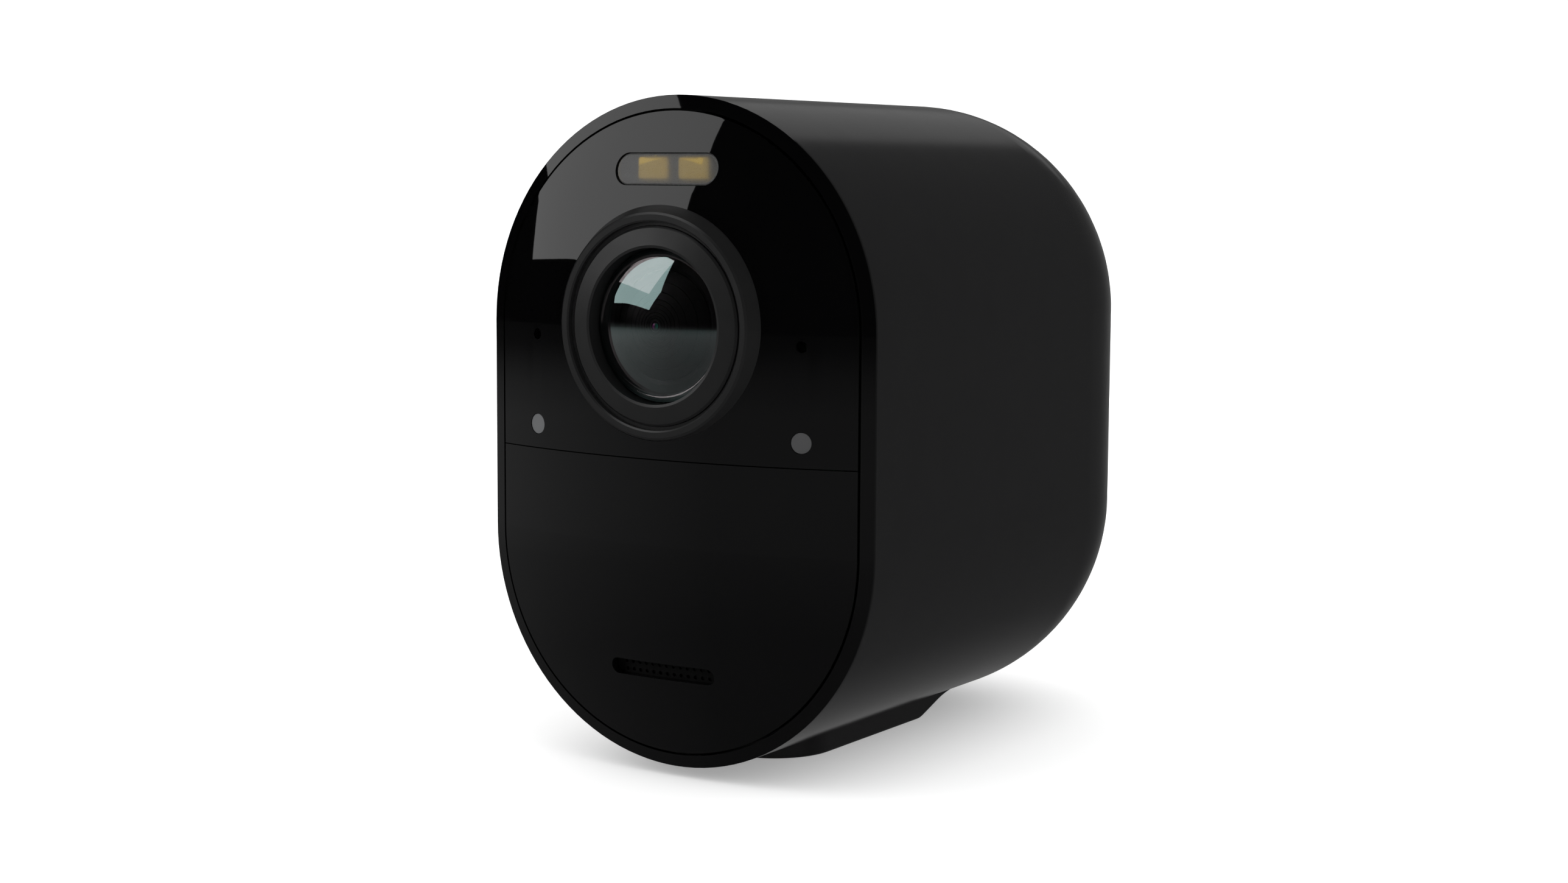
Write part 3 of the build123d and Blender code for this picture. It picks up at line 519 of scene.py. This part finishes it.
# ---------------------------------------------------------------------------
# The front skin: a domed polished face of black polycarbonate above, and below
# it the thinner window that the motion sensor looks through.
# ---------------------------------------------------------------------------
dress(black_gloss, "upper_face")
window_gloss = moulded("window_gloss", (0.0009, 0.0009, 0.001), (0.0015, 0.0015, 0.0016),
                       (0.035, 0.06), 0.0004, 0.00000015)
dress(window_gloss, "motion_window")

dome_rise = rim_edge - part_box("upper_face")[0].y
dome_radius = (half_width**2 + dome_rise**2) / (2 * dome_rise)
half_straight = (housing_high.z - axis_height) - half_width


def dome_y(x, z):
    """Depth of the domed front at a place on it."""
    beyond = max(0.0, abs(z - axis_height) - half_straight)
    return rim_edge - dome_rise + dome_radius - math.sqrt(dome_radius**2 - x * x - beyond * beyond)


# ---------------------------------------------------------------------------
# The spotlight: a frosted polycarbonate window with a rough sawn edge, over two
# white lamps, each a square of yellow phosphor in a ceramic frame.
# ---------------------------------------------------------------------------
spot_low, spot_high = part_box("spotlight_window")
spot_centre = middle("spotlight_window")
spot_recess = 0.12 * MM
spot_thickness = 1.2 * MM
spot_edge = 0.22 * MM
random.seed(11)


def lying_stadium(length, height, steps):
    """Points round a lying stadium, anticlockwise from the right end's foot."""
    radius = height / 2
    reach = length / 2 - radius
    points = []
    for end, start in ((1, -90), (-1, 90)):
        for step in range(steps + 1):
            turn = math.radians(start + 180 * step / steps)
            points.append((end * reach + radius * math.cos(turn), radius * math.sin(turn)))
        for step in range(1, steps):
            share = step / steps
            points.append((end * (reach - 2 * reach * share), end * radius))
    return points


def window_loop(inset, depth, jitter=0.0):
    """One loop of the window at this inset from its outline and depth behind the dome."""
    loop = []
    length = spot_high.x - spot_low.x
    height = spot_high.z - spot_low.z
    outline = lying_stadium(length - 2 * inset, height - 2 * inset, 56)
    for x, z in outline:
        z += spot_centre.z
        y = dome_y(x, z) + spot_recess + depth + random.uniform(0, jitter)
        loop.append(window_form.verts.new((x, y, z)))
    return loop


window_form = bmesh.new()
window_loops = [window_loop(0.05 * MM, spot_thickness - 0.05 * MM),
                window_loop(0.0, spot_thickness * 0.5),
                window_loop(0.0, spot_edge, 0.05 * MM),
                window_loop(0.5 * spot_edge, 0.4 * spot_edge, 0.06 * MM),
                window_loop(spot_edge, 0.02 * MM)]
for inset in (0.5, 0.9, 1.3, 1.6):
    window_loops.append(window_loop(inset * MM, 0.0))
for inner, outer in zip(window_loops[1:], window_loops):
    count = len(inner)
    for step in range(count):
        after = (step + 1) % count
        window_form.faces.new((outer[step], outer[after], inner[after], inner[step]))
window_form.faces.new(window_loops[-1])
window_form.faces.new(list(reversed(window_loops[0])))
frosted, tree, shader = fresh_material("frosted_window", Transmission_Weight=0.92, IOR=1.5,
                                       Specular_IOR_Level=0.15)
haze = noise(tree, 9000.0, 2.0)
tree.links.new(shades(tree, haze.outputs["Fac"], (0.30, 0.30, 0.30), (0.56, 0.56, 0.56)),
               shader.inputs["Base Color"])
tree.links.new(spread(tree, haze.outputs["Fac"], 0.26, 0.40), shader.inputs["Roughness"])
emboss(tree, shader, haze.outputs["Fac"], 0.000012)
band = len(window_loops[0])
window = make_piece("spotlight_window_frosted", window_form, frosted, "camera_module",
                    ["spotlight_window"], 25)
sawn_edge = moulded("sawn_edge", (0.03, 0.03, 0.03), (0.16, 0.16, 0.16), (0.5, 0.7), 0.000004,
                    0.000006)
window.data.materials.append(sawn_edge)
for face in window.data.polygons:
    if face.index // band in (2, 3):
        face.material_index = 1


def chip(form, low, high, edge, steps=2):
    """Moulded block with softened edges between two corners."""
    low = Vector(low)
    high = Vector(high)
    size = high - low
    place = Matrix.Translation((low + high) / 2) @ Matrix.Diagonal((*size, 1))
    made = bmesh.ops.create_cube(form, size=1.0, matrix=place)
    edges = list({side for corner in made["verts"] for side in corner.link_edges})
    bmesh.ops.bevel(form, geom=edges, offset=edge, segments=steps, affect="EDGES",
                    clamp_overlap=True)


led_low, led_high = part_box("spotlight_leds")
led_width = 3.9 * MM
led_frame = 0.3 * MM
led_form = bmesh.new()
phosphor_form = bmesh.new()
for left in (led_low.x, led_high.x - led_width):
    chip(led_form, (left, led_low.y + 0.12 * MM, led_low.z),
         (left + led_width, led_high.y, led_high.z), 0.06 * MM)
    chip(phosphor_form, (left + led_frame, led_low.y - 0.95 * MM, led_low.z + 1.5 * led_frame),
         (left + led_width - led_frame, led_low.y + 0.2 * MM, led_high.z - 1.5 * led_frame),
         0.12 * MM, 3)
ceramic = moulded("led_ceramic", (0.05, 0.05, 0.05), (0.08, 0.08, 0.078), (0.4, 0.5), 0.00005,
                  0.000002)
make_piece("spotlight_led_frames", led_form, ceramic, "camera_module",
           ["spotlight_leds"])
# The squares stand close behind the window, so that they show through the frost. Their faint
# yellow glow is painted light, standing in for the light that falls on them.
phosphor, tree, shader = fresh_material("phosphor", Emission_Color=(1.0, 0.66, 0.06, 1.0),
                                        Emission_Strength=0.45)
place = tree.nodes.new("ShaderNodeTexCoord")
grains = tree.nodes.new("ShaderNodeTexVoronoi")
grains.inputs["Scale"].default_value = 9000.0
tree.links.new(place.outputs["Object"], grains.inputs["Vector"])
tree.links.new(shades(tree, grains.outputs["Distance"], (0.30, 0.19, 0.02), (0.62, 0.42, 0.06)),
               shader.inputs["Base Color"])
tree.links.new(spread(tree, grains.outputs["Distance"], 0.6, 0.8), shader.inputs["Roughness"])
emboss(tree, shader, grains.outputs["Distance"], 0.00001)
make_piece("spotlight_phosphor", phosphor_form, phosphor, "camera_module")

# ---------------------------------------------------------------------------
# The two dots beside the lens, light pipes of grey polycarbonate pressed into
# the face: the light sensor's on the left, the status lamp's on the right.
# ---------------------------------------------------------------------------
pipe_grey = moulded("light_pipe_grey", (0.085, 0.087, 0.09), (0.105, 0.107, 0.11), (0.3, 0.4),
                    0.0001, 0.000001)
dress(pipe_grey, "light_sensor_window")
pipe_clear = moulded("light_pipe_clear", (0.040, 0.040, 0.041), (0.055, 0.055, 0.056),
                     (0.03, 0.06), 0.0001, 0.0000003, Coat_Weight=0.6)
dress(pipe_clear, "status_window")
dress(ceramic, "status_led")
boot_rubber = moulded("boot_rubber", (0.018, 0.018, 0.018), (0.026, 0.026, 0.026), (0.62, 0.75),
                      0.0003, 0.00001)
dress(boot_rubber, "mic_boots", "speaker_gasket", "seal_ring")
tin_can = metal("tin_can", (0.46, 0.46, 0.45), (0.60, 0.60, 0.58), (0.25, 0.4), 0.0007, 0.000003,
                (1, 1, 5))
dress(tin_can, "microphones", "shield_cans")

# ---------------------------------------------------------------------------
# The lens surround: an outer bezel with a chamfered lip and a separate inner
# ring, both satin black and turned, with a dark groove between them.
# ---------------------------------------------------------------------------
bezel_satin = moulded("bezel_satin", (0.0070, 0.0070, 0.0072), (0.009, 0.009, 0.0092),
                      (0.30, 0.38), 0.00012, 0.0000018)
dress(bezel_satin, "lens_bezel", "inner_bezel")

# ---------------------------------------------------------------------------
# The cover glass: a domed clear glass, hollow behind and ground to a chamfered
# edge. Its coating leaves a pale blue-green sheen in front and none behind.
# ---------------------------------------------------------------------------
glass_low, glass_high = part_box("cover_glass")
glass_centre = middle("cover_glass")
glass_rim = (glass_high.x - glass_low.x) / 2
glass_radius = 22.0 * MM
lens_place = Matrix.Translation((glass_centre.x, 0, glass_centre.z)) @ BACK
glass_rings = []
for step in range(25):
    radius = (glass_rim - 0.14 * MM) * step / 24
    glass_rings.append((radius,
                        glass_low.y + glass_radius - math.sqrt(glass_radius**2 - radius**2)))
edge_y = glass_rings[-1][1]
glass_rings += [(glass_rim, edge_y + 0.16 * MM), (glass_rim, glass_high.y - 0.05 * MM),
                (glass_rim - 0.05 * MM, glass_high.y), (glass_rim - 0.7 * MM, glass_high.y)]
hollow_rim = glass_rim - 0.8 * MM
hollow_apex = glass_low.y + 0.9 * MM
hollow_depth = glass_high.y - hollow_apex
hollow_radius = (hollow_rim**2 + hollow_depth**2) / (2 * hollow_depth)
for step in range(20, -1, -1):
    radius = hollow_rim * step / 20
    hollow_y = hollow_apex + hollow_radius - math.sqrt(hollow_radius**2 - radius**2)
    glass_rings.append((radius, hollow_y))


def tinted(name, dark, light, rough, cloud_scale, cloud_detail, **fixed):
    """Clear material whose tint and polish wander slightly."""
    material, tree, shader = fresh_material(name, **fixed)
    cloud = noise(tree, cloud_scale, cloud_detail)
    tree.links.new(shades(tree, cloud.outputs["Fac"], dark, light), shader.inputs["Base Color"])
    tree.links.new(spread(tree, cloud.outputs["Fac"], *rough), shader.inputs["Roughness"])
    return material


coated_glass = tinted("coated_glass", (0.90, 0.94, 0.94), (0.96, 0.93, 0.96), (0.0, 0.004), 120.0,
                      1.0, Transmission_Weight=1.0, IOR=2.3, Coat_Weight=0.25, Coat_Roughness=0.0,
                      Coat_IOR=1.9, Specular_Tint=(0.62, 0.98, 0.95, 1.0))
cover = make_piece("cover_glass_domed", turned_solid(glass_rings, lens_place, 144), coated_glass,
                   "camera_module", ["cover_glass"], 20)
hollow_glass = tinted("rear_coated_glass", (0.90, 0.94, 0.94), (0.96, 0.93, 0.96), (0.0, 0.004),
                      120.0, 1.0, Transmission_Weight=1.0, IOR=2.3, Specular_IOR_Level=0.0)
cover.data.materials.append(hollow_glass)
for face in cover.data.polygons:
    if face.normal.y > 0.5:
        face.material_index = 1

# ---------------------------------------------------------------------------
# The lens: a black barrel whose mouth steps down in fine baffle rings to the
# stop, and a rear element. A dark ringed dome with a small coated iris closes
# it in front; it stands close behind the cover glass and hides the rest. The
# dome's dark grey is painted shade for the dim inside of the lens, and the
# iris's purple-to-green colour and faint glow are a painted coating sheen.
# ---------------------------------------------------------------------------
barrel_low, barrel_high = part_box("lens_barrel")
front_low, front_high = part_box("front_element")
mouth_radius = (front_high.x - front_low.x) / 2
barrel_radius = (barrel_high.x - barrel_low.x) / 2
stop_radius = 1.3 * MM
stop_y = front_high.y + 2.0 * MM
baffle_count = 9
barrel_rings = [(mouth_radius, front_low.y), (mouth_radius, front_high.y)]
for step in range(baffle_count):
    share = step / baffle_count
    radius = mouth_radius + (stop_radius - mouth_radius) * share
    narrower = mouth_radius + (stop_radius - mouth_radius) * (share + 0.62 / baffle_count)
    y = front_high.y + (stop_y - front_high.y) * share
    barrel_rings += [(radius, y), (narrower, y + 0.02 * MM), (narrower, y + 0.16 * MM)]
barrel_rings += [(stop_radius, stop_y), (stop_radius, stop_y + 0.3 * MM),
                 (3.0 * MM, stop_y + 0.4 * MM)]
rear_low, rear_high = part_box("rear_element")
rear_radius = (rear_high.x - rear_low.x) / 2
barrel_rings += [(3.0 * MM, rear_low.y), (rear_radius, rear_low.y), (rear_radius, barrel_high.y)]
thread_radius = 5.8 * MM
shoulder_radius = 7.2 * MM
holder_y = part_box("lens_holder")[0].y
barrel_rings += [(thread_radius, barrel_high.y), (thread_radius, holder_y),
                 (shoulder_radius, holder_y),
                 (shoulder_radius, barrel_low.y + 5.2 * MM),
                 (barrel_radius, barrel_low.y + 5.2 * MM),
                 (barrel_radius, barrel_low.y + 0.15 * MM),
                 (barrel_radius - 0.15 * MM, barrel_low.y),
                 (mouth_radius + 0.5 * MM, barrel_low.y)]
barrel_black = moulded("barrel_black", (0.030, 0.030, 0.031), (0.075, 0.075, 0.077), (0.38, 0.55),
                       0.00009, 0.000008)
make_piece("lens_barrel_baffled", lathe(barrel_rings, lens_place, 120), barrel_black,
           "camera_module", ["lens_barrel"], 25)

element_glass = tinted("element_glass", (0.86, 0.92, 0.93), (0.95, 0.88, 0.95), (0.0, 0.01),
                       200.0, 1.0, Transmission_Weight=1.0, IOR=1.12, Specular_IOR_Level=0.0)
dress(element_glass, "rear_element")

element_apex = glass_low.y + 1.25 * MM
element_rim = mouth_radius - 0.1 * MM
element_bulge = element_rim**2 / (2 * (front_low.y - element_apex))
ring_radii = (0.85, 1.15, 1.5, 1.9, 2.35, 2.85, 3.6, 4.7)
element_rings = []
radius = 0.0
while radius < element_rim:
    groove = min(abs(radius - ring * MM) for ring in ring_radii)
    sunk = max(0.0, 0.05 * MM - groove) if radius > 0.6 * MM else 0.0
    element_rings.append((radius, element_apex + radius**2 / (2 * element_bulge) + 1.4 * sunk))
    radius += 0.05 * MM
element_rings += [(element_rim, front_low.y), (element_rim, front_high.y), (0, front_high.y)]
# The dome is opaque dark grey: painted shade for the dim inside of the lens behind the cover
# glass. Its rings are real relief.
element_painted_shade = moulded("element_painted_shade", (0.022, 0.021, 0.024), (0.075, 0.075, 0.078), (0.35, 0.6),
                       0.000003, 0.000004)
make_piece("front_element_ringed", turned_solid(element_rings, lens_place, 128), element_painted_shade,
           "camera_module", ["front_element"], 12)

iris_rim = 0.36 * MM
iris_rings = [(0, element_apex - 0.09 * MM), (0.18 * MM, element_apex - 0.075 * MM),
              (0.3 * MM, element_apex - 0.045 * MM), (iris_rim, element_apex),
              (0, element_apex + 0.05 * MM)]
# The iris's colour runs from purple on the left to green on the right and also glows faintly: a
# painted coating sheen and painted glow.
iris_sheen_paint, tree, shader = fresh_material("iris_painted_sheen", Metallic=0.55, Coat_Weight=1.0,
                                         Coat_Roughness=0.02, Emission_Strength=0.5)
place = tree.nodes.new("ShaderNodeTexCoord")
axes = tree.nodes.new("ShaderNodeSeparateXYZ")
tree.links.new(place.outputs["Object"], axes.inputs["Vector"])
painted_sheen_colours = tree.nodes.new("ShaderNodeValToRGB")
painted_sheen_colours.color_ramp.elements[0].color = (0.14, 0.004, 0.12, 1)
painted_sheen_colours.color_ramp.elements[1].color = (0.004, 0.10, 0.06, 1)
stop = painted_sheen_colours.color_ramp.elements.new(0.5)
stop.color = (0.006, 0.004, 0.012, 1)
across_iris = spread(tree, axes.outputs["X"], 0.0, 1.0, glass_centre.x - iris_rim,
                     glass_centre.x + iris_rim)
tree.links.new(across_iris, painted_sheen_colours.inputs["Fac"])
tree.links.new(painted_sheen_colours.outputs["Color"], shader.inputs["Base Color"])
tree.links.new(painted_sheen_colours.outputs["Color"], shader.inputs["Emission Color"])
ring_noise = noise(tree, 3000.0, 2.0)
tree.links.new(spread(tree, ring_noise.outputs["Fac"], 0.05, 0.12), shader.inputs["Roughness"])
make_piece("lens_iris", turned_solid(iris_rings, lens_place, 48), iris_sheen_paint, "camera_module")
iris_lip = lathe([(0.55 * MM, element_apex + 0.02 * MM), (0.58 * MM, element_apex - 0.02 * MM),
                  (0.62 * MM, element_apex - 0.02 * MM), (0.65 * MM, element_apex + 0.02 * MM)],
                 lens_place, 64)
lip_grey = moulded("iris_lip", (0.16, 0.16, 0.165), (0.22, 0.22, 0.225), (0.3, 0.4), 0.0001)
make_piece("lens_iris_lip", iris_lip, lip_grey, "camera_module")

# ---------------------------------------------------------------------------
# Behind the lens: a moulded holder, a copper coil that shifts the filter
# carriage, the red night filter and the clear one, and the image sensor.
# ---------------------------------------------------------------------------
dress(acetal_black, "lens_holder", "ircut_carriage")
red_filter = tinted("dichroic_red", (0.40, 0.06, 0.08), (0.55, 0.12, 0.20), (0.0, 0.03), 400.0,
                    2.0, Transmission_Weight=0.8, IOR=1.5, Coat_Weight=0.8,
                    Coat_Tint=(1.0, 0.45, 0.55, 1.0))
dress(red_filter, "ircut_filter")
clear_pane = tinted("clear_pane", (0.82, 0.88, 0.88), (0.90, 0.93, 0.92), (0.0, 0.03), 400.0, 2.0,
                    Transmission_Weight=0.9, IOR=1.5)
dress(clear_pane, "clear_filter")

coil_low, coil_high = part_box("ircut_coil")
coil_radius = (coil_high.x - coil_low.x) / 2
wire = 0.14 * MM
coil_rings = [(0, coil_low.y), (coil_radius, coil_low.y), (coil_radius, coil_low.y + 0.5 * MM)]
winding_end = coil_high.y - 0.5 * MM
y = coil_low.y + 0.5 * MM
while y + 2 * wire <= winding_end:
    coil_rings += [(coil_radius - 0.25 * MM, y + 0.02 * MM), (coil_radius - 0.12 * MM, y + wire),
                   (coil_radius - 0.25 * MM, y + 2 * wire - 0.02 * MM)]
    y += 2 * wire
coil_rings += [(coil_radius, winding_end), (coil_radius, coil_high.y), (0, coil_high.y)]
coil_place = Matrix.Translation((middle("ircut_coil").x, 0, middle("ircut_coil").z)) @ BACK
copper = metal("enamelled_copper", (0.42, 0.14, 0.05), (0.56, 0.22, 0.09), (0.15, 0.28), 0.0002)
make_piece("filter_coil_wound", turned_solid(coil_rings, coil_place, 56), copper,
           "camera_module", ["ircut_coil"], 20)

sensor_pixels, tree, shader = fresh_material("sensor_pixels", Metallic=0.7, Coat_Weight=1.0,
                                             Coat_Roughness=0.02)
place = tree.nodes.new("ShaderNodeTexCoord")
cells = tree.nodes.new("ShaderNodeTexBrick")
cells.offset = 0.0
cells.inputs["Scale"].default_value = 4200.0
cells.inputs["Color1"].default_value = (0.10, 0.14, 0.22, 1)
cells.inputs["Color2"].default_value = (0.16, 0.12, 0.20, 1)
cells.inputs["Mortar"].default_value = (0.03, 0.04, 0.05, 1)
tree.links.new(place.outputs["Object"], cells.inputs["Vector"])
tree.links.new(cells.outputs["Color"], shader.inputs["Base Color"])
tree.links.new(spread(tree, cells.outputs["Fac"], 0.12, 0.3), shader.inputs["Roughness"])
dress(sensor_pixels, "image_sensor")

# ---------------------------------------------------------------------------
# The circuit boards: green solder mask over copper tracks, with moulded chips
# and small parts soldered on, tinned shields and an aluminium heat spreader.
# ---------------------------------------------------------------------------
board_green, tree, shader = fresh_material("board_green", IOR=1.55)
place = tree.nodes.new("ShaderNodeTexCoord")
tracks = tree.nodes.new("ShaderNodeTexBrick")
tracks.inputs["Scale"].default_value = 700.0
tracks.inputs["Mortar Size"].default_value = 0.06
tracks.inputs["Color1"].default_value = (0.012, 0.070, 0.032, 1)
tracks.inputs["Color2"].default_value = (0.016, 0.085, 0.040, 1)
tracks.inputs["Mortar"].default_value = (0.030, 0.135, 0.060, 1)
tree.links.new(place.outputs["Object"], tracks.inputs["Vector"])
tree.links.new(tracks.outputs["Color"], shader.inputs["Base Color"])
tree.links.new(spread(tree, tracks.outputs["Fac"], 0.28, 0.38, 0, 1), shader.inputs["Roughness"])
emboss(tree, shader, tracks.outputs["Fac"], 0.00002)
dress(board_green, "front_board", "motion_board", "sensor_board", "main_board", "sync_board")
chip_black = moulded("chip_black", (0.016, 0.016, 0.016), (0.023, 0.023, 0.023), (0.45, 0.6),
                     0.00008, 0.000002)
dress(chip_black, "board_connector", "sync_switch")
spreader_alu = metal("spreader_aluminium", (0.55, 0.56, 0.57), (0.68, 0.69, 0.70), (0.3, 0.42),
                     0.0005, 0.000003, (1, 1, 8))
dress(spreader_alu, "heat_spreader")


def fit_out(board, face_y, out, spots):
    """Chips and small parts on one side of a board; out is 1 for its back and -1 for its front."""
    low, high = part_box(board)
    form = bmesh.new()
    for x, z, width, height, thick in spots:
        near = face_y if out > 0 else face_y - thick * MM
        left = middle(board).x + x * MM
        foot = middle(board).z + z * MM
        chip(form, (left - width * MM / 2, near, foot - height * MM / 2),
             (left + width * MM / 2, near + thick * MM, foot + height * MM / 2), 0.08 * MM)
    make_piece(board + "_parts", form, chip_black, "camera_module")


random.seed(5)
small_parts = [(x * 2.3, -12.5 + random.uniform(-0.3, 0.3), 1.0, 0.5, 0.4) for x in range(-3, 4)]
fit_out("main_board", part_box("main_board")[1].y, 1,
        small_parts + [(-4, -20.5, 3, 3, 0.8), (4, -21, 5, 2.4, 0.8)])
fit_out("front_board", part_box("front_board")[1].y, 1,
        [(-14, 2, 3, 3, 0.8), (-13, -8, 2, 1.2, 0.6), (13, -9, 2.4, 1.6, 0.6)])

# ---------------------------------------------------------------------------
# The motion sensor: a nickel-plated can whose front holds a dark filter pane.
# ---------------------------------------------------------------------------
dress(nickel_plate, "motion_sensor")
pir_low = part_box("motion_sensor")[0]
pane_form = bmesh.new()
pane_centre = middle("motion_sensor")
chip(pane_form, (pane_centre.x - 1.88 * MM, pir_low.y + 0.08 * MM, pane_centre.z - 1.38 * MM),
     (pane_centre.x + 1.88 * MM, pir_low.y + 0.28 * MM, pane_centre.z + 1.38 * MM), 0.05 * MM)
pane_dark = moulded("filter_dark", (0.010, 0.009, 0.012), (0.022, 0.018, 0.026), (0.06, 0.12),
                    0.0002, Coat_Weight=0.5)
make_piece("motion_filter_pane", pane_form, pane_dark, "camera_module")

# ---------------------------------------------------------------------------
# The speaker: a moulded box behind the slot, a black woven cloth over a thin
# punched plate, and a soft gasket round the slot.
# ---------------------------------------------------------------------------
dress(acetal_black, "speaker")
grille_black, tree, shader = fresh_material("grille_black")
place = tree.nodes.new("ShaderNodeTexCoord")
weave = tree.nodes.new("ShaderNodeTexChecker")
weave.inputs["Scale"].default_value = 9000.0
tree.links.new(place.outputs["Object"], weave.inputs["Vector"])
tree.links.new(shades(tree, weave.outputs["Fac"], (0.0004, 0.0004, 0.0004),
                      (0.0012, 0.0012, 0.0012)),
               shader.inputs["Base Color"])
tree.links.new(spread(tree, weave.outputs["Fac"], 0.7, 0.85, 0, 1), shader.inputs["Roughness"])
emboss(tree, shader, weave.outputs["Fac"], 0.00002)
dress(grille_black, "speaker_grille")

# ---------------------------------------------------------------------------
# The module's case and front frame: grey-black glass-filled nylon, with zinc
# screws, gold-plated dock pads and thin foil antennas inside the upper bay.
# ---------------------------------------------------------------------------
case_nylon = moulded("case_nylon", (0.026, 0.027, 0.029), (0.036, 0.037, 0.040), (0.46, 0.6),
                     0.00025, 0.000008)
dress(case_nylon, "module_case", "front_frame")
dress(gold_plate, "dock_pads", "battery_terminals", "antennas")

screw_low, screw_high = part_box("frame_screws")
head_radius = 1.7 * MM
shank_radius = 0.95 * MM
head_height = 0.9 * MM
screw_form = bmesh.new()
screw_pitch = 0.55 * MM
for side in (-1, 1):
    for level in (-1, 1):
        screw_x = side * ((screw_high.x - screw_low.x) / 2 - head_radius)
        screw_rise = (screw_high.z - screw_low.z) / 2 - head_radius
        screw_z = middle("frame_screws").z + level * screw_rise
        rings = [(0, screw_low.y + 0.5 * MM), (0.55 * MM, screw_low.y + 0.4 * MM),
                 (0.6 * MM, screw_low.y),
                 (1.2 * MM, screw_low.y + 0.03 * MM),
                 (head_radius - 0.15 * MM, screw_low.y + 0.25 * MM),
                 (head_radius, screw_low.y + 0.5 * MM), (head_radius, screw_low.y + head_height)]
        y = screw_low.y + head_height
        while y + screw_pitch < screw_high.y - 0.2 * MM:
            rings += [(shank_radius - 0.22 * MM, y), (shank_radius - 0.22 * MM, y + 0.2 * MM),
                      (shank_radius, y + 0.36 * MM), (shank_radius - 0.22 * MM, y + 0.5 * MM)]
            y += screw_pitch
        rings += [(shank_radius - 0.3 * MM, screw_high.y), (0, screw_high.y)]
        turned_solid(rings, Matrix.Translation((screw_x, 0, screw_z)) @ BACK, 40, screw_form)
make_piece("frame_screws_threaded", screw_form, zinc_steel, "camera_module",
           ["frame_screws"])

# ---------------------------------------------------------------------------
# The battery: a shrink-wrapped lithium pack with a moulded end cap. The cap's
# finger hollow is ribbed for grip. Sprung gold contacts meet it at the front.
# ---------------------------------------------------------------------------
wrap_black = moulded("battery_wrap", (0.020, 0.020, 0.022), (0.028, 0.028, 0.031), (0.30, 0.42),
                     0.0009, 0.000015)
dress(wrap_black, "battery_pack")
cap_satin = moulded("battery_cap_satin", (0.018, 0.018, 0.019), (0.025, 0.025, 0.026),
                    (0.36, 0.46), 0.00018, 0.000005)
dress(cap_satin, "battery_cap")
cap_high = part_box("battery_cap")[1]
rib_form = bmesh.new()
for step in range(-4, 5):
    rib_x = middle("battery_cap").x + step * 1.15 * MM
    chip(rib_form, (rib_x - 0.25 * MM, cap_high.y - 1.25 * MM, middle("battery_cap").z - 2.1 * MM),
         (rib_x + 0.25 * MM, cap_high.y - 0.75 * MM, middle("battery_cap").z + 2.1 * MM),
         0.2 * MM, 3)
make_piece("battery_grip_ribs", rib_form, cap_satin, "battery")
sprung_low, sprung_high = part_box("battery_contacts")
sprung_radius = (sprung_high.z - sprung_low.z) / 2
sprung_pitch = (sprung_high.x - sprung_low.x - 2 * sprung_radius) / 3
sprung_form = bmesh.new()
for step in range(4):
    sprung_x = sprung_low.x + sprung_radius + step * sprung_pitch
    place = Matrix.Translation((sprung_x, 0, middle("battery_contacts").z)) @ BACK
    turned_solid([(0, sprung_low.y), (sprung_radius, sprung_low.y),
                  (sprung_radius, sprung_high.y - 1.0 * MM),
                  (0.42 * MM, sprung_high.y - 0.95 * MM), (0.42 * MM, sprung_high.y - 0.25 * MM),
                  (0.3 * MM, sprung_high.y - 0.06 * MM), (0, sprung_high.y)],
                 place, 36, sprung_form)
make_piece("battery_spring_pins", sprung_form, gold_plate, "camera_module",
           ["battery_contacts"])

# ---------------------------------------------------------------------------
# The sync button in the back of the module: a moulded cap over a small switch.
# ---------------------------------------------------------------------------
dress(button_matte, "sync_button")
